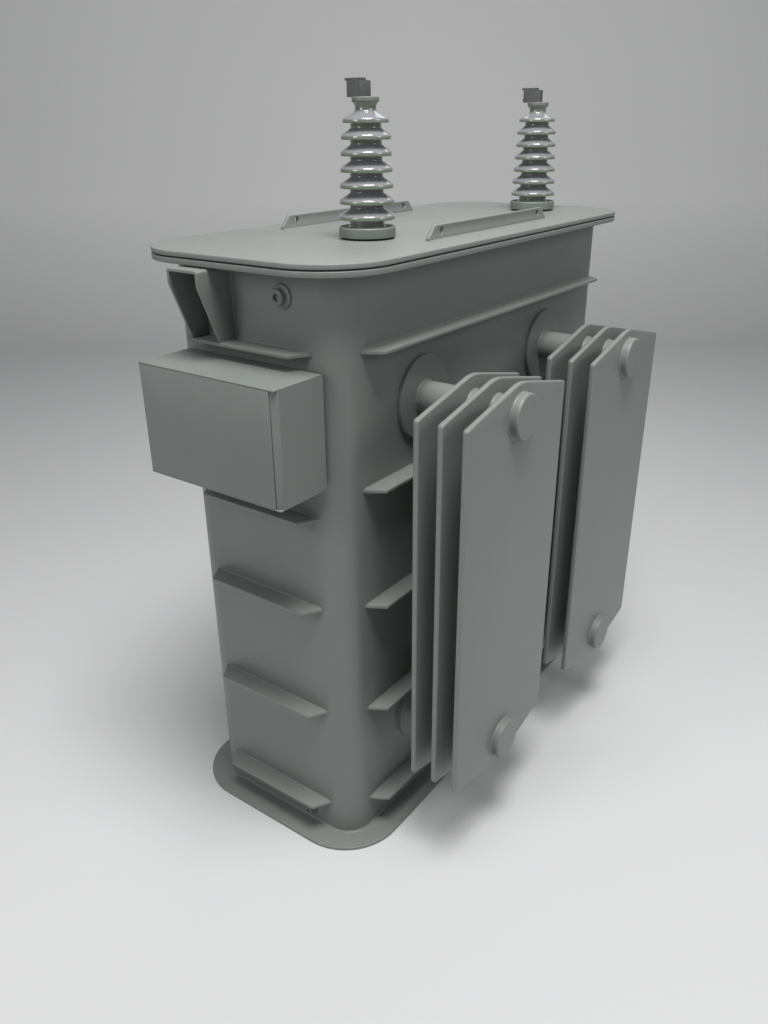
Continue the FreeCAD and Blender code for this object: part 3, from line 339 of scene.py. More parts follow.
tankPaint = paintFinish("tankPaint", (0.185, 0.200, 0.188), 0.0)
# The cover's copy of the tank grey is made paler: painted light standing in for the overhead lamp
# falling on the cover and the lifting bars.
coverPaintLitCopy = paintFinish("coverPaintLitCopy", (0.205, 0.220, 0.209), 11.0, gloss=0.43)
boxPaint = paintFinish("boxPaint", (0.185, 0.201, 0.190), 23.0, gloss=0.45)
# The radiators' copy of the tank grey is made paler: painted light standing in for the lamps
# falling on the radiator faces.
radiatorPaintLitCopy = paintFinish("radiatorPaintLitCopy", (0.200, 0.213, 0.202), 37.0, gloss=0.40)


# Porcelain glaze: a clear gloss over a body colour with fine dark specks. Painted light and shade
# set the body
# colour: greener and darker where the surface faces down, paler where it faces up.
def glazeFinish():
    glaze = Finish("shedGlaze", IOR=1.52, Coat_Weight=1.0, Coat_Roughness=0.05, Coat_IOR=1.55)
    cloud = glaze.noise(26.0, 3.0, 0.55)
    specks = glaze.node("ShaderNodeTexVoronoi", {"feature": "F1"},
                        {"Vector": glaze.place, "Scale": 240.0})
    dots = (glaze.ramp(specks, (0.05, 1.0), (0.12, 0.0))
            * glaze.ramp(cloud, (0.5, 0.0), (0.6, 0.7)))
    outward = glaze.node("ShaderNodeNewGeometry", output="Normal")
    up = glaze.node("ShaderNodeSeparateXYZ", None, (outward,), output="Z")
    # painted light and shade: the body colour is paler facing up and greener and darker facing
    # down
    body = glaze.blend(glaze.ramp(up * 0.9 + cloud * 0.1, (0.15, 0.0), (0.55, 1.0)),
                       (0.165, 0.195, 0.150), (0.225, 0.230, 0.242))
    flow = glaze.noise(60.0, 2.0, 0.5)
    return glaze.set(Base_Color=glaze.blend(dots * 0.5, body, (0.10, 0.11, 0.10)),
                     Roughness=0.16 + cloud * 0.10, Normal=glaze.bump(flow, 0.0003, 0.35))


# Bare or plated metal with patches of dulling and fine drawn lines.
def metalFinish(name, colour, dull, rough, lines=260.0, metallic=1.0, spread=0.2):
    metal = Finish(name, Metallic=metallic, IOR=1.5)
    patch = metal.noise(30.0, 4.0, 0.6)
    drawn = metal.noise(1.0, 2.0, 0.6, vector=metal.stretch((lines, lines, lines * 0.12)))
    worn = metal.ramp(patch * 0.7 + drawn * 0.3, (0.35, 0.0), (0.65, 1.0))
    return metal.set(Base_Color=metal.blend(worn, colour, dull),
                     Roughness=rough + (worn - 0.5) * spread,
                     Normal=metal.bump(drawn, 0.0001, 0.5))


# Rubber, nylon and moulded resin: matt, with a fine grain and a slight bloom.
def mouldedFinish(name, colour, bloom, rough, grain=320.0, depth=0.0001):
    moulded = Finish(name, IOR=1.48)
    cloud = moulded.noise(18.0, 4.0, 0.6)
    grains = moulded.noise(grain, 2.0, 0.5)
    mask = moulded.ramp(cloud * 0.6 + grains * 0.4, (0.4, 0.0), (0.75, 1.0))
    return moulded.set(Base_Color=moulded.blend(mask, colour, bloom),
                       Roughness=rough + (grains - 0.5) * 0.2,
                       Normal=moulded.bump(grains, depth, 0.7))


# A stack of thin layers or turns along one axis, each with its own tone and a dark joint.
def layeredFinish(name, colour, dark, axis, layer, rough, metallic=0.0, depth=0.0006):
    layered = Finish(name, Metallic=metallic, IOR=1.5)
    parts = layered.node("ShaderNodeSeparateXYZ", None, (layered.place,), output=axis)
    step = parts / layer
    inside = layered.node("ShaderNodeMath", {"operation": "FRACT"}, (step,))
    arch = layered.ramp(inside, (0.0, 0.0), (0.12, 0.8), (0.5, 1.0), (0.88, 0.8), (1.0, 0.0))
    cloud = layered.noise(22.0, 4.0, 0.6)
    number = layered.node("ShaderNodeMath", {"operation": "FLOOR"}, (step,))
    tone = layered.node("ShaderNodeTexWhiteNoise", {"noise_dimensions": "1D"}, {"W": number})
    body = layered.blend(tone * 0.35 + cloud * 0.4, colour, tint(colour, 0.72))
    return layered.set(Base_Color=layered.blend(arch, dark, body), Roughness=rough + cloud * 0.15,
                       Normal=layered.bump(arch, depth, 0.8))


shedGlaze = glazeFinish()
clampMetal = metalFinish("clampMetal", (0.080, 0.083, 0.082), (0.110, 0.112, 0.110), 0.62,
                         metallic=0.2)
zincPlate = metalFinish("zincPlate", (0.60, 0.60, 0.58), (0.42, 0.42, 0.40), 0.36)
tinnedCopper = metalFinish("tinnedCopper", (0.66, 0.60, 0.52), (0.50, 0.42, 0.34), 0.32)
blackRubber = mouldedFinish("blackRubber", (0.012, 0.012, 0.013), (0.035, 0.035, 0.036), 0.72)
nylonBlack = mouldedFinish("nylonBlack", (0.018, 0.018, 0.019), (0.04, 0.04, 0.042), 0.45)
mouldedResin = mouldedFinish("mouldedResin", (0.16, 0.075, 0.04), (0.22, 0.11, 0.06), 0.35)
paleMoulding = mouldedFinish("paleMoulding", (0.44, 0.44, 0.40), (0.52, 0.52, 0.48), 0.5)
primerPaint = mouldedFinish("primerPaint", (0.24, 0.075, 0.05), (0.30, 0.11, 0.08), 0.6)
pressboard = mouldedFinish("pressboard", (0.42, 0.29, 0.15), (0.50, 0.36, 0.20), 0.7)
coreStack = layeredFinish("coreStack", (0.20, 0.21, 0.24), (0.05, 0.05, 0.055), "X", 0.0035, 0.38,
                          metallic=0.6)
hvTurns = layeredFinish("hvTurns", (0.55, 0.36, 0.18), (0.20, 0.12, 0.06), "Z", 0.012, 0.5)
lvTurns = layeredFinish("lvTurns", (0.60, 0.30, 0.16), (0.18, 0.09, 0.05), "Z", 0.018, 0.35,
                        metallic=0.8)
paperWrap = layeredFinish("paperWrap", (0.60, 0.46, 0.28), (0.40, 0.30, 0.18), "Z", 0.014, 0.75)
print("finishes made")

# ---- tank ----

tankLow, tankHigh = cadCorners("tank_shell")
baseLow, baseHigh = cadCorners("base_plate")
rimLow, rimHigh = cadCorners("rim_flange")
coverLow, coverHigh = cadCorners("cover_plate")
tank = {"corner": 80 * mm, "wall": 6 * mm, "baseCorner": 180 * mm, "rimCorner": 180 * mm,
        "plateEdge": 2.2 * mm, "weldLeg": 7 * mm, "cornerSteps": 24}


def slabOutline(high, corner, inset=0.0):
    half = high[:2] - inset
    corners = rectangleCorners(-half[0], -half[1], half[0], half[1])
    return roundedOutline(corners, corner - inset, tank["cornerSteps"])


def tankOutline(inset=0.0):
    return slabOutline(tankHigh, tank["corner"], inset)


def reversedLoop(loop):
    points, normals = loop
    return points[::-1], -normals[::-1]


# The outline carried along a closed section of outward offset and height.
def carriedRound(shell, loop, section):
    points, normals = loop
    section = np.asarray(section, float)
    flat = points[None] + section[:, :1, None] * normals[None]
    height = np.broadcast_to(section[:, 1, None, None], (*flat.shape[:2], 1))
    shell.grid(np.concatenate([flat, height], axis=2), wrapRows=True)


def makeTank():
    wall = Shell()
    levels = np.linspace(tankLow[2], tankHigh[2], 9)
    outside = [(0.0, level) for level in levels]
    inside = [(-tank["wall"], level) for level in levels[::-1]]
    carriedRound(wall, tankOutline(), outside + inside)
    wall.piece("tankWall", tankPaint, "tank_paint", replaced=["tank_shell"])

    base = Shell()
    plate(base, [slabOutline(baseHigh, tank["baseCorner"])], baseLow[2], baseHigh[2],
          tank["plateEdge"], (0, 0, 0), acrossX, acrossY)
    base.piece("basePlate", tankPaint, "tank_paint", replaced=["base_plate"])

    rim = Shell()
    plate(rim, [slabOutline(rimHigh, tank["rimCorner"]), reversedLoop(tankOutline(tank["wall"]))],
          rimLow[2], rimHigh[2], tank["plateEdge"], (0, 0, 0), acrossX, acrossY)
    rim.piece("rimFlange", tankPaint, "tank_paint", replaced=["rim_flange"])

    gasketLow, gasketHigh = cadCorners("cover_gasket")
    inset = rimHigh[0] - gasketHigh[0]
    gasket = Shell()
    plate(gasket, [slabOutline(gasketHigh, tank["rimCorner"] - inset),
                   reversedLoop(tankOutline(tank["wall"]))],
          gasketLow[2], gasketHigh[2], 0.6 * mm, (0, 0, 0), acrossX, acrossY, 1)
    gasket.piece("coverGasket", blackRubber, "seal_rubber", replaced=["cover_gasket"])

    cover = Shell()
    plate(cover, [slabOutline(coverHigh, tank["rimCorner"])], coverLow[2], coverHigh[2],
          tank["plateEdge"], (0, 0, 0), acrossX, acrossY)
    cover.piece("coverPlate", coverPaintLitCopy, "tank_paint", replaced=["cover_plate"])

    welds = Shell()
    leg = tank["weldLeg"]
    foot = weldSection(leg)
    carriedRound(welds, tankOutline(), foot + (0, baseHigh[2]))
    carriedRound(welds, tankOutline(), foot * (1, -1) + (0, rimLow[2]))
    welds.piece("tankWelds", tankPaint, "tank_paint", smoothAngle=50)


makeTank()
print("tank, base, rim and cover made")

# ---- ribs ----

rib = {"thick": 10 * mm, "setback": 33 * mm, "edge": 2.5 * mm, "weldLeg": 3.5 * mm}


# Heights of a node's ribs, from the top faces of its solids on one side.
def ribTops(node, axis, side):
    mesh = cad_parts[node].data
    points = np.empty(len(mesh.vertices) * 3)
    mesh.vertices.foreach_get("co", points)
    points = points.reshape(-1, 3)
    heights = np.unique(np.round(points[points[:, axis] * side > 0][:, 2], 5))
    return heights[1::2]


def makeRibs():
    for name, node, wallAxis in (("endRibs", "end_ribs", 1), ("sideRibs", "side_ribs", 0)):
        high = cadCorners(node)[1]
        alongAxis = 1 - wallAxis
        along = np.eye(3)[alongAxis]
        run = high[alongAxis]
        wallAt, reach = tankHigh[wallAxis], high[wallAxis]
        ribs, welds = Shell(), Shell()
        for side in (-1, 1):
            out = np.eye(3)[wallAxis] * side
            tip = run - rib["setback"]
            corners = [(-run, wallAt - 1 * mm), (run, wallAt - 1 * mm), (run, wallAt),
                       (tip, reach), (-tip, reach), (-run, wallAt)]
            loop = roundedOutline(corners, np.array([0.4, 0.4, 0.4, 7, 7, 0.4]) * mm, 5)
            upwards = np.cross(along, out)[2]
            for top in ribTops(node, wallAxis, side):
                lift = (0, 0, top - (rib["thick"] if upwards > 0 else 0))
                plate(ribs, [loop], 0, rib["thick"], rib["edge"], lift, along, out, 2)
                section = weldSection(rib["weldLeg"])
                for level, flip in ((top, 1), (top - rib["thick"], -1)):
                    start = -along * (run - 6 * mm) + out * wallAt + upZ * level
                    stop = along * (run - 6 * mm) + out * wallAt + upZ * level
                    bar(welds, section * (1, flip), start, stop, out, upZ)
        ribs.piece(name, tankPaint, "tank_paint", replaced=[node])
        welds.piece(name + "Welds", tankPaint, "tank_paint", smoothAngle=50)


makeRibs()
print("ribs made")

# ---- lifting bars and brackets ----

liftingBar = {"eyeRadius": 9 * mm, "eyeInset": 58 * mm, "eyeRise": 22 * mm, "edge": 0.8 * mm,
              "slope": 28 * mm, "foot": 6 * mm, "weldLeg": 3 * mm}


def makeLiftingBars():
    welds = Shell()
    for name, node in (("liftingBarLeft", "lifting_bar_left"),
                       ("liftingBarRight", "lifting_bar_right")):
        low, high = cadCorners(node)
        height = high[2] - low[2]
        slope, foot = liftingBar["slope"], liftingBar["foot"]
        corners = [(low[1], 0), (high[1], 0), (high[1], foot), (high[1] - slope, height),
                   (low[1] + slope, height), (low[1], foot)]
        loops = [roundedOutline(corners, np.array([1, 1, 1.5, 4, 4, 1.5]) * mm, 5)]
        for at in (low[1] + liftingBar["eyeInset"], high[1] - liftingBar["eyeInset"]):
            loops.append(circleOutline((at, liftingBar["eyeRise"]), liftingBar["eyeRadius"],
                                       hole=True))
        made = Shell()
        plate(made, loops, low[0], high[0], liftingBar["edge"], (0, 0, low[2]), acrossY, upZ, 2)
        made.piece(name, coverPaintLitCopy, "tank_paint", replaced=[node])
        for side, edgeAt in ((-1, low[0]), (1, high[0])):
            section = weldSection(liftingBar["weldLeg"])
            bar(welds, section, (edgeAt, low[1] + 2 * mm, low[2]),
                (edgeAt, high[1] - 2 * mm, low[2]), acrossX * side, upZ)
    welds.piece("liftingBarWelds", coverPaintLitCopy, "tank_paint", smoothAngle=50)


bracket = {"plate": 7 * mm, "bend": 7 * mm, "lip": 37 * mm, "foot": 52 * mm, "weldLeg": 4 * mm}


# A bent plate: the section, a channel with round bends, is carried from the wall to a front
# edge that keeps the full reach down to the lip and then runs back in a straight taper.
def makeBrackets():
    welds = Shell()
    for name, node, side in (("liftingBracketFront", "lifting_bracket_front", -1),
                             ("liftingBracketRear", "lifting_bracket_rear", 1)):
        low, high = cadCorners(node)
        wallAt = tankHigh[1]
        reach = (high[1] - low[1])
        thick, bend = bracket["plate"], bracket["bend"]
        corners = [(low[0], low[2]), (low[0] + thick, low[2]), (low[0] + thick, high[2] - thick),
                   (high[0] - thick, high[2] - thick), (high[0] - thick, low[2]),
                   (high[0], low[2]), (high[0], high[2]), (low[0], high[2])]
        rounds = np.array([1.2 * mm, 1.2 * mm, 3 * mm, 3 * mm, 1.2 * mm, 1.2 * mm, bend, bend])
        section, normals = roundedOutline(corners, rounds, 8)
        section, normals = denser(section, normals, 9 * mm)
        lipAt = high[2] - bracket["lip"]
        taper = np.clip((section[:, 1] - low[2]) / (lipAt - low[2]), 0, 1)
        front = bracket["foot"] + (reach - bracket["foot"]) * taper
        edge = 1.2 * mm
        quarter = np.linspace(0, math.pi / 2, 4)
        inset = np.concatenate([[0.0], edge * np.cos(quarter) - edge])
        back = np.concatenate([[None], edge * np.sin(quarter) - edge])
        rows = []
        for shrink, behind in zip(inset, back):
            flat = section + shrink * normals
            depth = np.full(len(flat), -1.0 * mm) if behind is None else front + behind
            rows.append(np.stack([flat[:, 0], side * (wallAt + depth), flat[:, 1]], axis=1))
        made = Shell()
        index = made.grid(np.stack(rows))
        flatBack = np.stack([section[:, 0], section[:, 1], 0 * section[:, 0]], axis=1)
        made.cap([flatBack], [int(index[0, 0])])
        lastFlat = section + inset[-1] * normals
        made.cap([np.stack([lastFlat[:, 0], lastFlat[:, 1], 0 * lastFlat[:, 0]], axis=1)],
                 [int(index[-1, 0])])
        made.piece(name, tankPaint, "tank_paint", replaced=[node])
        out = acrossY * side
        section = weldSection(bracket["weldLeg"])
        for edgeAt, way in ((low[0], -1), (high[0], 1)):
            start = np.array([edgeAt, side * wallAt, low[2]])
            stop = np.array([edgeAt, side * wallAt, high[2] - bend])
            bar(welds, section, start, stop, acrossX * way, out)
            stop = np.array([edgeAt, side * (wallAt + bracket["foot"] - 2 * mm), low[2]])
            bar(welds, section, start, stop, acrossX * way, upZ)
    welds.piece("bracketWelds", tankPaint, "tank_paint", smoothAngle=50)


# Adds points along the long straight runs of an outline.
def denser(points, normals, step):
    nextPoints = np.roll(points, -1, axis=0)
    nextNormals = np.roll(normals, -1, axis=0)
    gaps = np.linalg.norm(nextPoints - points, axis=1)
    counts = np.maximum(1, np.ceil(gaps / step).astype(int))
    which = np.repeat(np.arange(len(points)), counts)
    start = np.repeat(np.cumsum(counts) - counts, counts)
    share = ((np.arange(len(which)) - start) / counts[which])[:, None]
    return (points[which] * (1 - share) + nextPoints[which] * share,
            normals[which] * (1 - share) + nextNormals[which] * share)


makeLiftingBars()
makeBrackets()
print("lifting bars and brackets made")


# ---- solids of a node ----

# Lowest and highest corner of each separate solid in a node. Points that lie together are
# taken as one, and the lowest number among joined points spreads until nothing changes.
def solidCorners(node):
    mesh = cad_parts[node].data
    points = np.empty(len(mesh.vertices) * 3)
    mesh.vertices.foreach_get("co", points)
    points = points.reshape(-1, 3)
    corners = np.empty(len(mesh.loops), int)
    mesh.loops.foreach_get("vertex_index", corners)
    _, same = np.unique(np.round(points, 6), axis=0, return_inverse=True)
    same = same.ravel()
    faces = same[corners].reshape(-1, 3)
    label = np.arange(same.max() + 1)
    while True:
        spread = label.copy()
        np.minimum.at(spread, faces.ravel(), np.repeat(label[faces].min(axis=1), 3))
        spread = spread[spread]
        if (spread == label).all():
            break
        label = spread
    own = label[same]
    return [(points[own == one].min(axis=0), points[own == one].max(axis=0))
            for one in np.unique(own)]


# ---- turned parts with a hexagon ----

# A hexagon head: a collar, six flats and a cone that cuts their corners.
def hexHead(shell, origin, axis, cornerRadius, height, bore=0.0, chamfer=0.16):
    flats = cornerRadius * math.sqrt(3)
    cone = np.linspace(0, 1, 6)
    rise = height * (1 - chamfer) + height * chamfer * cone
    shrink = cornerRadius - (cornerRadius - flats / 2 * 0.93) * cone
    profile = [(bore, 0), (cornerRadius, 0), *zip(shrink, rise), (bore, height)]
    turned(shell, profile, origin, axis, steps=48, across=flats,
           flats=[False, *[True] * 7, False])


# A screw thread: the radius falls and rises with height less the share of a turn.
def threadRod(shell, origin, axis, radius, low, high, pitch, steps=24):
    first, second, axis = axisFrame(axis)
    rows = int((high - low) / pitch * 6) + 1
    height = np.linspace(low, high, rows)[:, None]
    angle = np.linspace(0, 2 * math.pi, steps, endpoint=False)[None]
    phase = (height / pitch - angle / (2 * math.pi)) % 1
    depth = np.clip(np.minimum(height - low, high - height) / pitch, 0, 1)
    reach = radius - 0.55 * pitch * (1 - np.abs(2 * phase - 1)) * depth
    reach = np.vstack([0 * reach[:1], reach[:1] - 0.5 * pitch, reach, reach[-1:] - 0.8 * pitch,
                       0 * reach[:1]])
    height = np.concatenate([[low, low], height.ravel(), [high, high]])
    points = (np.asarray(origin, float)
              + reach[..., None] * (np.cos(angle)[..., None] * first
                                    + np.sin(angle)[..., None] * second)
              + height[:, None, None] * axis)
    shell.grid(points)


# ---- cover bolts, plugs and earth stud ----

def makeCoverBolts():
    bolts = Shell()
    for low, high in solidCorners("cover_bolts"):
        centre = (low + high) / 2
        hexHead(bolts, (centre[0], centre[1], rimLow[2]), -upZ, (high[0] - low[0]) / 2,
                rimLow[2] - low[2])
        shank = (high[2] - low[2]) - (rimLow[2] - low[2])
        turned(bolts, [(0, 0), (6 * mm, 0), (6 * mm, shank), (0, shank)],
               (centre[0], centre[1], rimLow[2]), upZ, 16)
    bolts.piece("coverBolts", zincPlate, "zinc", replaced=["cover_bolts"])


plugs = {
    "filler": {"neck": 20 * mm, "bore": 13.05 * mm, "shank": 13 * mm, "socket": 9.8 * mm,
               "socketDeep": 8.4 * mm, "headLong": 9 * mm},
    "drain": {"neck": 13 * mm, "bore": 10.45 * mm, "shank": 10.4 * mm, "socket": 6.9 * mm,
              "socketDeep": 7 * mm, "headLong": 9 * mm},
}
plugPad = {"thick": 6 * mm, "padRound": 3 * mm, "neckRound": 0.6 * mm, "rootRound": 5.3 * mm,
           "headRound": 4 * mm}


def makePlugs():
    front = -acrossY
    for name, plug in plugs.items():
        low, high = cadCorners(name + "_boss")
        padRadius, length = (high[0] - low[0]) / 2, high[1] - low[1]
        at = np.array([(low[0] + high[0]) / 2, high[1], (low[2] + high[2]) / 2])
        corners = [(plug["bore"], 0), (padRadius, 0), (padRadius, plugPad["thick"]),
                   (plug["neck"], plugPad["thick"]), (plug["neck"], length),
                   (plug["bore"], length)]
        radii = [0.1 * mm, 0.3 * mm, plugPad["padRound"], plugPad["rootRound"],
                 plugPad["neckRound"], 0.4 * mm]
        boss = Shell()
        turned(boss, roundedOutline(corners, radii, 5)[0], at, front, 72)
        boss.piece(name + "Boss", tankPaint, "tank_paint", replaced=[name + "_boss"])

        low, high = cadCorners(name + "_washer")
        washerRadius = (high[0] - low[0]) / 2
        corners = rectangleCorners(plug["bore"], 0, washerRadius, high[1] - low[1])
        washer = Shell()
        turned(washer, roundedOutline(corners, 0.4 * mm, 4)[0], (at[0], high[1], at[2]), front,
               64)
        washer.piece(name + "Washer", blackRubber, "seal_rubber", name + "_washer_carrier",
                     [name + "_washer"])

        washerFace = low[1]
        low, high = cadCorners(name + "_plug")
        headRadius = (high[0] - low[0]) / 2
        top, floor = plug["headLong"], plug["headLong"] - plug["socketDeep"]
        under = washerFace - high[1]
        edge, socket = plugPad["headRound"], plug["socket"]
        arc = np.linspace(0, math.pi / 2, 6)
        outer = np.stack([headRadius - edge + edge * np.cos(arc),
                          top - edge + edge * np.sin(arc)], axis=1)
        profile = np.vstack([
            [(0, under), (plug["shank"] - 1 * mm, under), (plug["shank"], under + 1 * mm),
             (plug["shank"], 0), (headRadius, 0)], outer,
            [(socket + 0.9 * mm, top), (socket + 0.2 * mm, top - 0.7 * mm),
             (socket, top - 1 * mm), (socket, floor), (0, floor)]])
        inHex = [False] * (len(profile) - 3) + [True, True, False]
        screw = Shell()
        turned(screw, profile, (at[0], washerFace, at[2]), front, 72,
               across=socket * math.sqrt(3), flats=inHex)
        screw.piece(name + "Plug", plugFinish, "zinc", name + "_screw",
                    [name + "_plug"])


plugFinish = metalFinish("plugFinish", (0.185, 0.198, 0.187), (0.165, 0.175, 0.166), 0.42,
                         metallic=0.1)


def makeEarthStud():
    low, high = cadCorners("earth_stud")
    at = ((low[0] + high[0]) / 2, low[1], (low[2] + high[2]) / 2)
    stud = {"pad": 20 * mm, "padThick": 8 * mm, "nut": 10 * mm, "nutThick": 6 * mm,
            "radius": 6 * mm, "pitch": 1.75 * mm}
    padPiece = Shell()
    corners = rectangleCorners(0, 0, stud["pad"], stud["padThick"])
    turned(padPiece, roundedOutline(corners, np.array([0.1, 0.3, 1.5, 0.1]) * mm, 5)[0], at,
           acrossY, 56)
    padPiece.piece("earthPad", tankPaint, "tank_paint", replaced=["earth_stud"])
    metal = Shell()
    threadRod(metal, at, acrossY, stud["radius"], 0.002, high[1] - low[1], stud["pitch"])
    hexHead(metal, np.array(at) + acrossY * stud["padThick"], acrossY, stud["nut"],
            stud["nutThick"])
    metal.piece("earthStud", zincPlate, "zinc")


makeCoverBolts()
makePlugs()
makeEarthStud()
print("bolts, plugs and earth stud made")

# ---- radiators ----

radiator = {"shoulder": 9 * mm, "crown": 150 * mm, "edge": 5 * mm, "pipeRadius": 44.5 * mm,
            "peak": 57 * mm, "weldLeg": 5 * mm, "padRound": 1.5 * mm, "capRound": 6 * mm}


def makeRadiators():
    for where in ("near", "far"):
        for number in ("inner", "middle", "outer"):
            node = "radiator_%s_panel_%s" % (where, number)
            low, high = cadCorners(node)
            centreX, centreY = (low[0] + high[0]) / 2, (low[1] + high[1]) / 2
            half, drop = (high[1] - low[1]) / 2, radiator["peak"]
            # the crown's rounding takes this much off the sharp peak
            lift = radiator["crown"] * (1 / math.cos(math.atan2(drop, half)) - 1)
            foot, head = low[2] - lift, high[2] + lift
            corners = [(-half, foot + drop), (0, foot), (half, foot + drop),
                       (half, head - drop), (0, head), (-half, head - drop)]
            radii = [radiator["shoulder"], radiator["crown"], radiator["shoulder"]] * 2
            panel = Shell()
            thick = (high[0] - low[0]) / 2
            plate(panel, [roundedOutline(corners, radii, 10)], -thick, thick, radiator["edge"],
                  (centreX, centreY, 0), acrossY, upZ, 5)
            name = "radiator" + where.title() + number.title()
            panel.piece(name, radiatorPaintLitCopy, "radiator_paint", replaced=[node])

    caps, pads, pipes, welds = Shell(), Shell(), Shell(), Shell()
    weld = weldSection(radiator["weldLeg"])
    panelNodes = ["radiator_near_panel_" + number for number in ("inner", "middle", "outer")]
    faces = [corner[0] for node in panelNodes for corner in cadCorners(node)]
    radius = radiator["pipeRadius"]
    for low, high in solidCorners("radiator_pads"):
        at = np.array([low[0], (low[1] + high[1]) / 2, (low[2] + high[2]) / 2])
        outer, thick = (high[1] - low[1]) / 2, high[0] - low[0]
        corners = rectangleCorners(radius - 1 * mm, 0, outer, thick)
        radii = np.array([0.1 * mm, 0.2 * mm, radiator["padRound"], 0.1 * mm])
        turned(pads, roundedOutline(corners, radii, 5)[0], at, acrossX, 96)
        turned(welds, weld + (radius, thick), at, acrossX, 64)
        start, stop = -5 * mm, faces[-1] - at[0] - 1 * mm
        turned(pipes, [(0, start), (radius, start), (radius, stop), (0, stop)], at, acrossX, 64)
        for face, way in zip(faces[:-1], (-1, 1, -1, 1, -1)):
            turned(welds, weld * (1, way) + (radius, face - at[0]), at, acrossX, 64)
    for low, high in solidCorners("header_caps"):
        at = np.array([low[0], (low[1] + high[1]) / 2, (low[2] + high[2]) / 2])
        outer, thick = (high[1] - low[1]) / 2, high[0] - low[0]
        corners = rectangleCorners(0, -1 * mm, outer, thick)
        radii = np.array([0.1 * mm, 0.2 * mm, radiator["capRound"], 0.1 * mm])
        profile = roundedOutline(corners, radii, 8)[0]
        turned(caps, profile, at, acrossX, 96)
        turned(welds, weld * 0.8 + (outer, 0), at, acrossX, 96)
    caps.piece("headerCaps", radiatorPaintLitCopy, "radiator_paint", replaced=["header_caps"])
    pads.piece("radiatorPads", tankPaint, "tank_paint", replaced=["radiator_pads"])
    pipes.piece("headerPipes", radiatorPaintLitCopy, "radiator_paint", replaced=["header_pipes"])
    welds.piece("headerWelds", radiatorPaintLitCopy, "radiator_paint", smoothAngle=50)


makeRadiators()
print("radiators made")

# ---- high-voltage bushings ----

shed = {"first": 48 * mm, "pitch": 38 * mm, "radius": 73.5 * mm, "taper": 1.9 * mm,
        "topRadius": 59 * mm, "rim": 10 * mm, "slope": 17 * mm, "trunkLow": 46 * mm,
        "trunkHigh": 39 * mm, "neck": 26.5 * mm, "flare": 33 * mm, "neckTop": 324 * mm,
        "count": 7, "bore": 10.5 * mm, "spigot": 36 * mm, "spigotLong": 150 * mm,
        "foot": 49.9 * mm}
clampRing = {"round": 5 * mm, "lowRound": 2 * mm, "hole": 50 * mm}


# Porcelain profile, from the spigot below the cover up the outside to the neck. Heights are
# from the cover. The rims are rounded, and the roots run into the trunk in wide hollows.
def shedProfile(ringLow, ringHigh, coverTop):
    base = ringLow - coverTop
    corners = [(shed["bore"], base - shed["spigotLong"]), (shed["spigot"],
               base - shed["spigotLong"]), (shed["spigot"], base), (shed["foot"], base),
               (shed["foot"], ringHigh - coverTop), (shed["trunkLow"], ringHigh - coverTop)]
    radii = [0.3, 2, 1, 1, 0.6, 0.6]
    steps = np.arange(shed["count"] + 1) / (shed["count"] - 1)
    trunk = shed["trunkLow"] + (shed["trunkHigh"] - shed["trunkLow"]) * steps
    for i in range(shed["count"]):
        last = i == shed["count"] - 1
        low = shed["first"] + i * shed["pitch"]
        rim = shed["topRadius"] if last else shed["radius"] - i * shed["taper"]
        above = shed["neck"] if last else trunk[i + 1]
        corners += [(trunk[i], low), (rim, low), (rim, low + shed["rim"]),
                    (above, low + shed["rim"] + shed["slope"])]
        radii += [4, 1.4, 8.5, 8 if last else 4]
    corners += [(shed["neck"], shed["neckTop"] - 9 * mm), (shed["flare"], shed["neckTop"]),
                (shed["bore"], shed["neckTop"])]
    radii += [5, 0.6, 0.3]
    return roundedOutline(corners, np.array(radii) * mm, 6)[0]


def makeBushings():
    rings, gaskets, caps = Shell(), Shell(), Shell()
    coverTop = coverHigh[2]
    for low, high in solidCorners("bushing_flanges"):
        at = np.array([(low[0] + high[0]) / 2, (low[1] + high[1]) / 2, low[2]])
        corners = rectangleCorners(clampRing["hole"], 0, (high[0] - low[0]) / 2, high[2] - low[2])
        radii = np.array([0.3 * mm, clampRing["lowRound"], clampRing["round"], 1.5 * mm])
        turned(rings, roundedOutline(corners, radii, 6)[0], at, upZ, 112)
    ringLow, ringHigh = low[2], high[2]
    for low, high in solidCorners("bushing_gaskets"):
        at = np.array([(low[0] + high[0]) / 2, (low[1] + high[1]) / 2, low[2]])
        corners = rectangleCorners(40 * mm, 0, (high[0] - low[0]) / 2, high[2] - low[2])
        turned(gaskets, roundedOutline(corners, 1.2 * mm, 4)[0], at, upZ, 96)
    for low, high in solidCorners("bushing_caps"):
        at = np.array([(low[0] + high[0]) / 2, (low[1] + high[1]) / 2, low[2]])
        corners = rectangleCorners(6 * mm, 0, (high[0] - low[0]) / 2, high[2] - low[2])
        radii = np.array([0.2, 1.6, 2.4, 0.4]) * mm
        turned(caps, roundedOutline(corners, radii, 6)[0], at, upZ, 72)
    rings.piece("bushingRings", ringPaintShadedCopy, "tank_paint", replaced=["bushing_flanges"])
    gaskets.piece("bushingGaskets", blackRubber, "seal_rubber", replaced=["bushing_gaskets"])
    caps.piece("bushingCaps", ringPaintShadedCopy, "tank_paint", replaced=["bushing_caps"])
    profile = shedProfile(ringLow, ringHigh, coverTop)
    for where in ("near", "far"):
        low, high = cadCorners("hv_insulator_" + where)
        at = ((low[0] + high[0]) / 2, (low[1] + high[1]) / 2, coverTop)
        porcelain = Shell()
        turned(porcelain, profile, at, upZ, 112)
        porcelain.piece("porcelain" + where.title(), shedGlaze, "glaze",
                        replaced=["hv_insulator_" + where])


# The bushing rings' and caps' copy of the tank grey is made darker: painted shade standing in for
# the shade on their upright sides.
ringPaintShadedCopy = paintFinish("ringPaintShadedCopy", (0.150, 0.170, 0.155), 51.0, gloss=0.42)

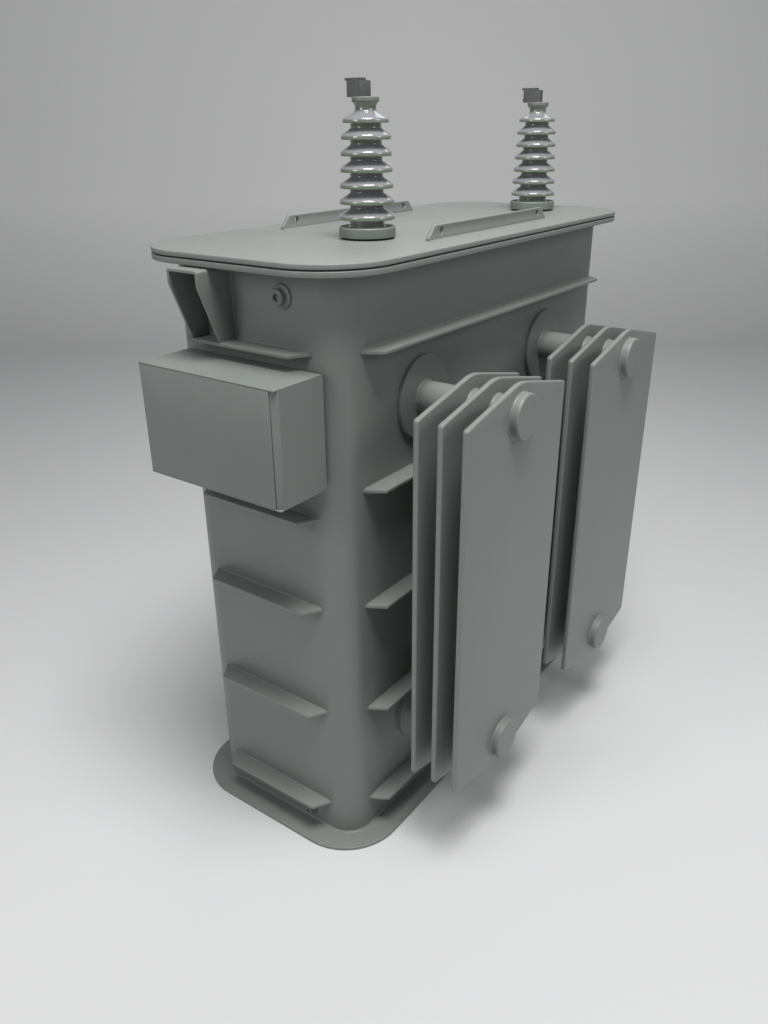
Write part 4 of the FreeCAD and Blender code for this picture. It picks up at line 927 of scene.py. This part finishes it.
lineClamp = {"split": 12 * mm, "left": 51 * mm, "right": 10 * mm, "half": 10 * mm,
             "hookLeft": 57 * mm, "hookBack": 5 * mm, "hookThick": 6 * mm, "gap": 0.5 * mm,
             "edge": 0.9 * mm, "boltHead": 5.5 * mm, "boltHeadLong": 4 * mm, "boltRise": 8 * mm}


def makeLineClamps():
    clamp = lineClamp
    bolts = Shell()
    for where in ("near", "far"):
        low, high = cadCorners("terminal_jaw_" + where)
        centreY, floor = (low[1] + high[1]) / 2, low[2]
        centreX = low[0] + clamp["hookLeft"]
        tall = high[2] - floor
        under = tall - clamp["hookThick"]
        split = -clamp["split"]
        jaw = [(-clamp["left"], 0), (split, 0), (split, under),
               (-clamp["hookBack"], under), (-clamp["hookBack"], tall),
               (-clamp["hookLeft"], tall), (-clamp["hookLeft"], under), (-clamp["left"], under)]
        jawRounds = [1.5, 0.8, 0.3, 0.8, 1.5, 1.5, 0.8, 0.8]
        bodyTop = under - clamp["gap"]
        body = [(split, 0), (clamp["right"], 0), (clamp["right"], bodyTop), (split, bodyTop)]
        bodyRounds = [0.8, 1.5, 1.5, 0.8]
        for name, node, corners, rounds in (
                ("clampJaw", "terminal_jaw_", jaw, jawRounds),
                ("clampBody", "terminal_body_", body, bodyRounds)):
            part = Shell()
            plate(part, [roundedOutline(corners, np.array(rounds) * mm, 4)], -clamp["half"],
                  clamp["half"], clamp["edge"], (centreX, centreY, floor), acrossX, upZ, 3)
            part.piece(name + where.title(), clampMetal, "clamp_grey", replaced=[node + where])
        headAt = (centreX - clamp["left"], centreY, floor + clamp["boltRise"])
        hexHead(bolts, headAt, -acrossX, clamp["boltHead"], clamp["boltHeadLong"])
    bolts.piece("clampBolts", clampMetal, "clamp_grey", replaced=["terminal_bolts"])


makeBushings()
makeLineClamps()
print("bushings and line clamps made")

# ---- control box ----

box = {"sheet": 3 * mm, "edge": 0.6 * mm, "left": 212 * mm, "right": 240 * mm,
       "grip": 16 * mm, "jamb": 3 * mm, "doorSheet": 2.5 * mm, "doorFlange": 13 * mm,
       "doorGap": 0.6 * mm, "doorBehind": 0.3 * mm, "sillBand": 18 * mm, "bend": 2.4 * mm,
       "windowHalf": 130 * mm, "windowTop": 35 * mm, "windowTall": 130 * mm,
       "slotHalf": 104 * mm, "slotDeep": 34 * mm, "glandFromWall": 62 * mm,
       "tuck": 0.9 * mm, "mountingBand": 22 * mm, "sealBand": 8 * mm}


def rectangleLoop(lowA, lowB, highA, highB, corner, steps=4):
    return roundedOutline(rectangleCorners(lowA, lowB, highA, highB), corner, steps)


def makeBoxHousing():
    low, high = cadCorners("box_housing")
    sheet, edge = box["sheet"], box["edge"]
    backY = high[1]
    sillY = low[1] + box["doorFlange"] + box["doorGap"]
    housing = Shell()
    soft = 1.2 * mm
    # top and bottom, the second with a slot for the cables
    plate(housing, [rectangleLoop(low[0], low[1], high[0], backY, soft)],
          high[2] - sheet, high[2], edge, (0, 0, 0), acrossX, acrossY)
    slotY = backY - box["glandFromWall"]
    slot = reversedLoop(rectangleLoop(-box["slotHalf"], slotY - box["slotDeep"],
                                      box["slotHalf"], slotY + box["slotDeep"], soft))
    plate(housing, [rectangleLoop(low[0], low[1], high[0], backY, soft), slot],
          low[2], low[2] + sheet, edge, (0, 0, 0), acrossX, acrossY)
    # back wall with its window, in the plane across X and up; its normal faces the front
    window = reversedLoop(rectangleLoop(-box["windowHalf"],
                                        high[2] - box["windowTop"] - box["windowTall"],
                                        box["windowHalf"], high[2] - box["windowTop"], soft))
    plate(housing, [rectangleLoop(low[0], low[2], high[0], high[2], soft), window],
          0, sheet, edge, (0, backY, 0), acrossX, upZ)
    # side walls
    foot, head, skin = low[2] + box["tuck"], high[2] - box["tuck"], 0.05 * mm
    side = rectangleLoop(sillY, foot, backY - 0.3 * mm, head, skin)
    for start, stop in ((low[0] + skin, low[0] + sheet), (high[0] - sheet, high[0] - skin)):
        plate(housing, [side], start, stop, skin, (0, 0, 0), acrossY, upZ, 1)
    # sill round the mouth
    doorRight = high[0] - box["grip"]
    band = box["sillBand"]
    mouth = reversedLoop(rectangleLoop(low[0] + sheet + band, low[2] + sheet + band,
                                       doorRight - band, high[2] - sheet - band, soft))
    sill = rectangleLoop(low[0] + 0.1 * mm, foot, doorRight + 1 * mm, head, soft)
    plate(housing, [sill, mouth], 0, sheet, edge, (0, sillY + sheet, 0), acrossX, upZ)
    # slanted finger grip beside the door
    jambY = low[1] + box["doorSheet"] + box["doorBehind"]
    grip = [(doorRight, jambY), (doorRight + box["jamb"], jambY), (high[0], sillY),
            (high[0], sillY + sheet), (doorRight, sillY + sheet)]
    plate(housing, [roundedOutline(grip, 0.5 * mm, 3)], low[2] + sheet / 2, high[2] - sheet / 2,
          0.4 * mm, (0, 0, 0), acrossX, acrossY)
    housing.piece("boxHousing", boxPaint, "box_paint", replaced=["box_housing"])

    low, high = cadCorners("box_mounting_frame")
    band = box["mountingBand"]
    mounting = Shell()
    plate(mounting, [rectangleLoop(low[0], low[2], high[0], high[2], soft),
                     reversedLoop(rectangleLoop(low[0] + band, low[2] + band, high[0] - band,
                                                high[2] - band, soft))],
          0, high[1] - low[1], edge, (0, high[1], 0), acrossX, upZ)
    mounting.piece("boxMountingFrame", tankPaint, "tank_paint", replaced=["box_mounting_frame"])

    low, high = cadCorners("door_seal")
    band = box["sealBand"]
    seal = Shell()
    plate(seal, [rectangleLoop(low[0], low[2], high[0], high[2], 4 * mm),
                 reversedLoop(rectangleLoop(low[0] + band, low[2] + band, high[0] - band,
                                            high[2] - band, 4 * mm))],
          0, high[1] - low[1], 3.5 * mm, (0, high[1], 0), acrossX, upZ, 5)
    seal.piece("doorSeal", blackRubber, "seal_rubber", replaced=["door_seal"])


hinge = {"spacing": 90 * mm, "half": 32 * mm, "middle": 11 * mm, "play": 0.5 * mm,
         "knuckle": 4.5 * mm, "pin": 2.5 * mm, "leaf": 2 * mm, "leafWide": 24 * mm,
         "doorLeaf": 9 * mm, "screwHead": 3.4 * mm, "screwRise": 21 * mm,
         "screwBack": 14 * mm}


def knuckle(shell, at, low, high):
    corners = rectangleCorners(hinge["pin"], low, hinge["knuckle"], high)
    turned(shell, roundedOutline(corners, np.array([0.2, 0.8, 0.8, 0.2]) * mm, 3)[0], at, upZ, 32)


def makeDoor():
    low, high = cadCorners("box_door")
    left, front = -box["left"], low[1]
    right = high[0]
    sheet = box["doorSheet"]
    section = [(left, front), (right, front), (right, front + sheet),
               (left + sheet, front + sheet), (left + sheet, front + box["doorFlange"]),
               (left, front + box["doorFlange"])]
    rounds = np.array([2.4, 0.7, 0.7, 0.4, 0.7, 0.7]) * mm
    door = Shell()
    points, normals = denser(*roundedOutline(section, rounds, 5), 30 * mm)
    plate(door, [(points, normals)], low[2], high[2], 0.5 * mm, (0, 0, 0), acrossX, acrossY, 2)
    at = hingeAxis()
    middle = (low[2] + high[2]) / 2
    for side in (-1, 1):
        level = middle + side * hinge["spacing"]
        reach = hinge["middle"] - hinge["play"]
        knuckle(door, (at[0], at[1], level), -reach, reach)
        plate(door, [rectangleLoop(at[1] - hinge["doorLeaf"], level - reach, at[1],
                                   level + reach, 0.5 * mm)],
              left - hinge["leaf"], left + 0.3 * mm, 0.4 * mm, (0, 0, 0), acrossY, upZ)
    door.piece("boxDoor", boxPaint, "box_paint", "door", ["box_door"])


def hingeAxis():
    low, high = cadCorners("hinge_pins")
    return (low[0] + high[0]) / 2, (low[1] + high[1]) / 2


def makeHinges():
    low, high = cadCorners("box_door")
    middle = (low[2] + high[2]) / 2
    at = hingeAxis()
    wall = -box["left"]
    sillY = low[1] + box["doorFlange"] + box["doorGap"]
    leaves, pins = Shell(), Shell()
    for side in (-1, 1):
        level = middle + side * hinge["spacing"]
        half, gap = hinge["half"], hinge["middle"]
        notch = at[1] + hinge["knuckle"] + hinge["play"]
        back = sillY + hinge["leafWide"]
        corners = [(at[1], level - half), (back, level - half), (back, level + half),
                   (at[1], level + half), (at[1], level + gap), (notch, level + gap),
                   (notch, level - gap), (at[1], level - gap)]
        plate(leaves, [roundedOutline(corners, np.array([0.5, 3, 3, 0.5, 0.5, 0.5, 0.5, 0.5])
                                      * mm, 4)],
              wall - hinge["leaf"], wall + 0.2 * mm, 0.5 * mm, (0, 0, 0), acrossY, upZ)
        knuckle(leaves, (at[0], at[1], level), gap, half)
        knuckle(leaves, (at[0], at[1], level), -half, -gap)
        for rise in (-hinge["screwRise"], 0, hinge["screwRise"]):
            screwAt = (wall - hinge["leaf"], sillY + hinge["screwBack"], level + rise)
            arc = np.linspace(0, math.pi / 2, 5)
            dome = [(hinge["screwHead"] * math.cos(a), 1.6 * mm * math.sin(a)) for a in arc]
            turned(leaves, [(0, -0.5 * mm), (hinge["screwHead"], -0.5 * mm), *dome], screwAt,
                   -acrossX, 20)
        corners = rectangleCorners(0, -half, hinge["pin"], half)
        turned(pins, roundedOutline(corners, np.array([0.05, 0.8, 0.8, 0.05]) * mm, 4)[0],
               (at[0], at[1], level), upZ, 24)
    leaves.piece("hingeLeaves", boxPaint, "box_paint", replaced=["hinge_leaves"])
    pins.piece("hingePins", zincPlate, "zinc", replaced=["hinge_pins"])


gland = {"bore": 11 * mm, "body": 16 * mm, "flange": 20 * mm, "flangeLong": 8 * mm,
         "long": 34 * mm, "inside": 12 * mm, "plate": 4 * mm}


def makeCableEntry():
    low, high = cadCorners("gland_plate")
    holes = []
    places = [((a[0] + b[0]) / 2, (a[1] + b[1]) / 2) for a, b in solidCorners("cable_glands")]
    for place in places:
        holes.append(circleOutline(place, gland["body"], 40, hole=True))
    entry = Shell()
    plate(entry, [rectangleLoop(low[0], low[1], high[0], high[1], 4 * mm), *holes], low[2],
          high[2], 0.7 * mm, (0, 0, 0), acrossX, acrossY)
    for x in np.linspace(low[0] + 8 * mm, high[0] - 8 * mm, 4):
        for y in (low[1] + 8 * mm, high[1] - 8 * mm):
            hexHead(entry, (x, y, low[2]), -upZ, 5.5 * mm, 3.5 * mm)
    entry.piece("glandPlate", boxPaint, "box_paint", replaced=["gland_plate"])

    glands = Shell()
    for x, y in places:
        under, over = -gland["long"], gland["plate"] + gland["inside"]
        flange = gland["flangeLong"]
        corners = [(gland["bore"], under), (gland["body"] - 2 * mm, under),
                   (gland["body"], under + 6 * mm), (gland["body"], -flange),
                   (gland["flange"], -flange), (gland["flange"], 0), (gland["body"], 0),
                   (gland["body"], gland["plate"]), (gland["flange"], gland["plate"]),
                   (gland["flange"], over), (gland["bore"], over)]
        radii = np.array([1.5, 2, 1, 0.3, 0.8, 0.4, 0.1, 0.1, 0.4, 0.8, 1.5]) * mm
        profile = roundedOutline(corners, radii, 3)[0]
        turned(glands, profile, (x, y, low[2]), upZ, 72, across=2 * gland["flange"] * 0.9,
               flats=profile[:, 0] > gland["body"] + 0.2 * mm)
    glands.piece("cableGlands", nylonBlack, "nylon", replaced=["cable_glands"])


makeBoxHousing()
makeDoor()
makeHinges()
makeCableEntry()
print("control box made")

# ---- inside the control box ----

lowVolts = {"body": 20 * mm, "flange": 30 * mm, "flangeThick": 8 * mm, "outside": 72 * mm,
            "inside": 30 * mm, "stud": 8 * mm, "nut": 13 * mm, "nutLong": 10 * mm,
            "pitch": 2 * mm, "ribs": 3}


def makeLowVolts():
    shells, studs = Shell(), Shell()
    part = lowVolts
    for low, high in solidCorners("lv_bushings"):
        at = np.array([(low[0] + high[0]) / 2, tankLow[1], (low[2] + high[2]) / 2])
        start, stop = at[1] - high[1], at[1] - low[1]
        corners = [(part["stud"], start), (part["body"], start), (part["body"], 0),
                   (part["flange"], 0), (part["flange"], part["flangeThick"]),
                   (part["body"], part["flangeThick"])]
        radii = [0.3, 1, 0.3, 0.6, 2, 3]
        ribs = np.linspace(part["flangeThick"] + 12 * mm, stop - 16 * mm, part["ribs"])
        for rise in ribs:
            corners += [(part["body"], rise - 4 * mm), (part["body"] + 5 * mm, rise - 2 * mm),
                        (part["body"] + 5 * mm, rise + 2 * mm), (part["body"], rise + 4 * mm)]
            radii += [1, 1.2, 1.2, 1]
        corners += [(part["body"], stop), (part["stud"], stop)]
        radii += [2, 0.3]
        turned(shells, roundedOutline(corners, np.array(radii) * mm, 4)[0], at, -acrossY, 64)
        front = part["outside"]
        studLow, studHigh = cadCorners("lv_studs")
        threadRod(studs, at, -acrossY, part["stud"], at[1] - studHigh[1], at[1] - studLow[1],
                  part["pitch"])
        hexHead(studs, at - acrossY * front, -acrossY, part["nut"], part["nutLong"])
    shells.piece("lowVoltBushings", mouldedResin, "resin", replaced=["lv_bushings"])
    studs.piece("lowVoltStuds", tinnedCopper, "tinned_copper", replaced=["lv_studs"])


rail = {"half": 140 * mm, "high": 35 * mm, "thick": 8 * mm, "wide": 14 * mm, "tall": 46 * mm,
        "deep": 40 * mm, "pitch": 24 * mm, "count": 11, "screw": 4 * mm}


def makeTerminalRail():
    low, high = cadCorners("terminal_rail")
    level, back = (low[2] + high[2]) / 2, high[1]
    strip, blocks, screws = Shell(), Shell(), Shell()
    halfHigh, lip = rail["high"] / 2, 1.5 * mm
    # a top-hat section: back web, two sides and two lips
    hat = [(0, -halfHigh + 5 * mm), (0, halfHigh - 5 * mm), (rail["thick"] - lip,
           halfHigh - 5 * mm), (rail["thick"] - lip, halfHigh), (rail["thick"], halfHigh),
           (rail["thick"], halfHigh - 5 * mm - lip), (lip, halfHigh - 5 * mm - lip),
           (lip, -halfHigh + 5 * mm + lip), (rail["thick"], -halfHigh + 5 * mm + lip),
           (rail["thick"], -halfHigh), (rail["thick"] - lip, -halfHigh),
           (rail["thick"] - lip, -halfHigh + 5 * mm)]
    plate(strip, [roundedOutline(hat[::-1], 0.3 * mm, 2)], -rail["half"], rail["half"], 0.2 * mm,
          (0, back, level), -acrossY, upZ, 1)
    strip.piece("terminalRail", zincPlate, "rail_plastic", replaced=["terminal_rail"])
    half, deep, shoulder = rail["tall"] / 2, rail["deep"], 26 * mm
    side = [(rail["thick"] - 1 * mm, -half + 4 * mm), (shoulder, -half), (shoulder + 6 * mm,
            -half + 4 * mm), (shoulder + 6 * mm, -11 * mm), (deep, -9 * mm), (deep, 9 * mm),
            (shoulder + 6 * mm, 11 * mm), (shoulder + 6 * mm, half - 4 * mm),
            (shoulder, half), (rail["thick"] - 1 * mm, half - 4 * mm)]
    loop = roundedOutline(side, 1 * mm, 3)
    for step in range(rail["count"]):
        x = (step - (rail["count"] - 1) / 2) * rail["pitch"]
        plate(blocks, [loop], -rail["wide"] / 2, rail["wide"] / 2, 0.7 * mm, (x, back, level),
              -acrossY, upZ, 2)
        for rise in (-15 * mm, 15 * mm):
            slotHead(screws, (x, back - shoulder - 5.4 * mm, level + rise), rail["screw"])
    blocks.piece("terminalBlocks", paleMoulding, "rail_plastic")
    screws.piece("terminalScrews", zincPlate, "zinc")


# A round screw head with a slot, as two half discs with a step between them.
def slotHead(shell, at, radius):
    arc = np.linspace(0.22, math.pi - 0.22, 9)
    upper = np.stack([radius * np.cos(arc), radius * np.sin(arc)], axis=1)
    for way in (-1, 1):
        loop = roundedOutline(upper * way, 0.01 * mm, 1)
        plate(shell, [loop], 0, 1.4 * mm, 0.1 * mm, at, acrossX, upZ, 1)
    disc = circleOutline((0, 0), radius, 20)
    plate(shell, [disc], -1 * mm, 0.5 * mm, 0.1 * mm, at, acrossX, upZ, 1)


makeLowVolts()
makeTerminalRail()
print("inside of the control box made")

# ---- parts inside the tank keep their own meshes ----

hiddenFinishes = {
    "core": coreStack, "yoke_clamps": primerPaint, "tie_rods": zincPlate,
    "hv_windings": hvTurns, "lv_windings": lvTurns, "barrier_cylinders": pressboard,
    "winding_rings": pressboard, "hv_leads": paperWrap, "lv_leads": tinnedCopper,
    "hv_stem_near": tinnedCopper, "hv_stem_far": tinnedCopper,
}
for node, finish in hiddenFinishes.items():
    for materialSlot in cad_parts[node].material_slots:
        materialSlot.material = finish

# ---- studio ----

studio = {"floorColour": (0.63, 0.63, 0.635), "wallColourPaintedLight": (0.86, 0.86, 0.85), "bend": 1.6,
          "back": 5.5, "high": 6.0, "halfWide": 9.0, "front": -6.0}


# Floor and backdrop in one sheet: flat, then a quarter round, then upright, across the line
# of sight. One parameter runs along that path, the other across it.
def makeBackdrop(azimuth):
    path = [(studio["front"], 0.0)]
    arc = np.linspace(0, math.pi / 2, 25)
    path += [(studio["back"] + studio["bend"] * math.sin(a),
              studio["bend"] * (1 - math.cos(a))) for a in arc]
    path.append((studio["back"] + studio["bend"], studio["high"]))
    path = np.array(path)
    forward = np.array([-math.sin(azimuth), math.cos(azimuth), 0])
    sideways = np.array([math.cos(azimuth), math.sin(azimuth), 0])
    spread = np.linspace(-studio["halfWide"], studio["halfWide"], 9)
    points = (path[:, :1, None] * forward + path[:, 1:, None] * upZ
              + spread[None, :, None] * sideways)
    drop = Shell()
    drop.grid(points, wrapColumns=False)
    sweep = bpy.data.objects.new("backdrop", drop.mesh("backdrop", 60))
    bpy.context.scene.collection.objects.link(sweep)
    paper = Finish("backdropPaper", Roughness=0.85)
    cloud = paper.noise(0.6, 3.0, 0.5)
    height = paper.node("ShaderNodeSeparateXYZ", None, (paper.place,), output="Z")
    # Painted light: the paper runs from the darker floor colour to a paler colour up the wall,
    # standing in for lamp light on the wall.
    paintedLightRise = paper.ramp(height * 0.4 + cloud * 0.02, (0.01, 0.0), (0.5, 1.0))
    paper.set(Base_Color=paper.blend(paintedLightRise, studio["floorColour"], studio["wallColourPaintedLight"]))
    sweep.data.materials.append(paper.material)


camera = {"place": (1.4821, -2.2002, 1.9724), "azimuth": 36.23, "down": 24.73, "roll": -0.51,
          "lens": 29.52}


def makeCamera():
    azimuth, down, roll = (math.radians(camera[key]) for key in ("azimuth", "down", "roll"))
    side = Vector((math.cos(azimuth), math.sin(azimuth), 0))
    forward = Vector((-math.sin(azimuth) * math.cos(down), math.cos(azimuth) * math.cos(down),
                      -math.sin(down)))
    above = side.cross(forward)
    right = side * math.cos(roll) + above * math.sin(roll)
    up = above * math.cos(roll) - side * math.sin(roll)
    turn = Matrix((right, up, -forward)).transposed()
    lens = bpy.data.cameras.new("camera")
    lens.sensor_fit, lens.sensor_height, lens.lens = "VERTICAL", 36.0, camera["lens"]
    lens.clip_end = 60.0
    holder = bpy.data.objects.new("camera", lens)
    bpy.context.scene.collection.objects.link(holder)
    holder.matrix_world = Matrix.Translation(camera["place"]) @ turn.to_4x4()
    bpy.context.scene.camera = holder
    return azimuth


# name: angle round the object from the camera's, height angle, distance, size, power
lamps = {
    "overhead": (5.0, 71.0, 5.0, (2.0, 2.0), 275.0),
    "leftSoft": (-50.0, 26.0, 5.2, (1.6, 2.2), 55.0),
    "rightSoft": (62.0, 30.0, 5.2, (1.6, 2.2), 48.0),
    "backGlow": (165.0, 50.0, 4.6, (3.0, 1.6), 20.0),
}


def makeLights(azimuth):
    middle = Vector((0.15, 0.0, 0.95))
    for name, (swing, rise, distance, size, power) in lamps.items():
        angle = azimuth + math.radians(swing)
        lift = math.radians(rise)
        out = Vector((math.sin(angle) * math.cos(lift), -math.cos(angle) * math.cos(lift),
                      math.sin(lift)))
        lamp = bpy.data.lights.new(name, "AREA")
        lamp.shape, lamp.size, lamp.size_y, lamp.energy = "RECTANGLE", size[0], size[1], power
        holder = bpy.data.objects.new(name, lamp)
        bpy.context.scene.collection.objects.link(holder)
        holder.matrix_world = (Matrix.Translation(middle + out * distance)
                               @ out.to_track_quat("Z", "Y").to_matrix().to_4x4())
    world = bpy.data.worlds.new("room")
    bpy.context.scene.world = world
    world.use_nodes = True
    background = world.node_tree.nodes["Background"]
    background.inputs["Color"].default_value = (0.86, 0.88, 0.90, 1.0)
    background.inputs["Strength"].default_value = 0.19
    bpy.context.scene.view_settings.view_transform = "Standard"


viewAzimuth = makeCamera()
makeBackdrop(viewAzimuth)
makeLights(viewAzimuth)
print("studio made")
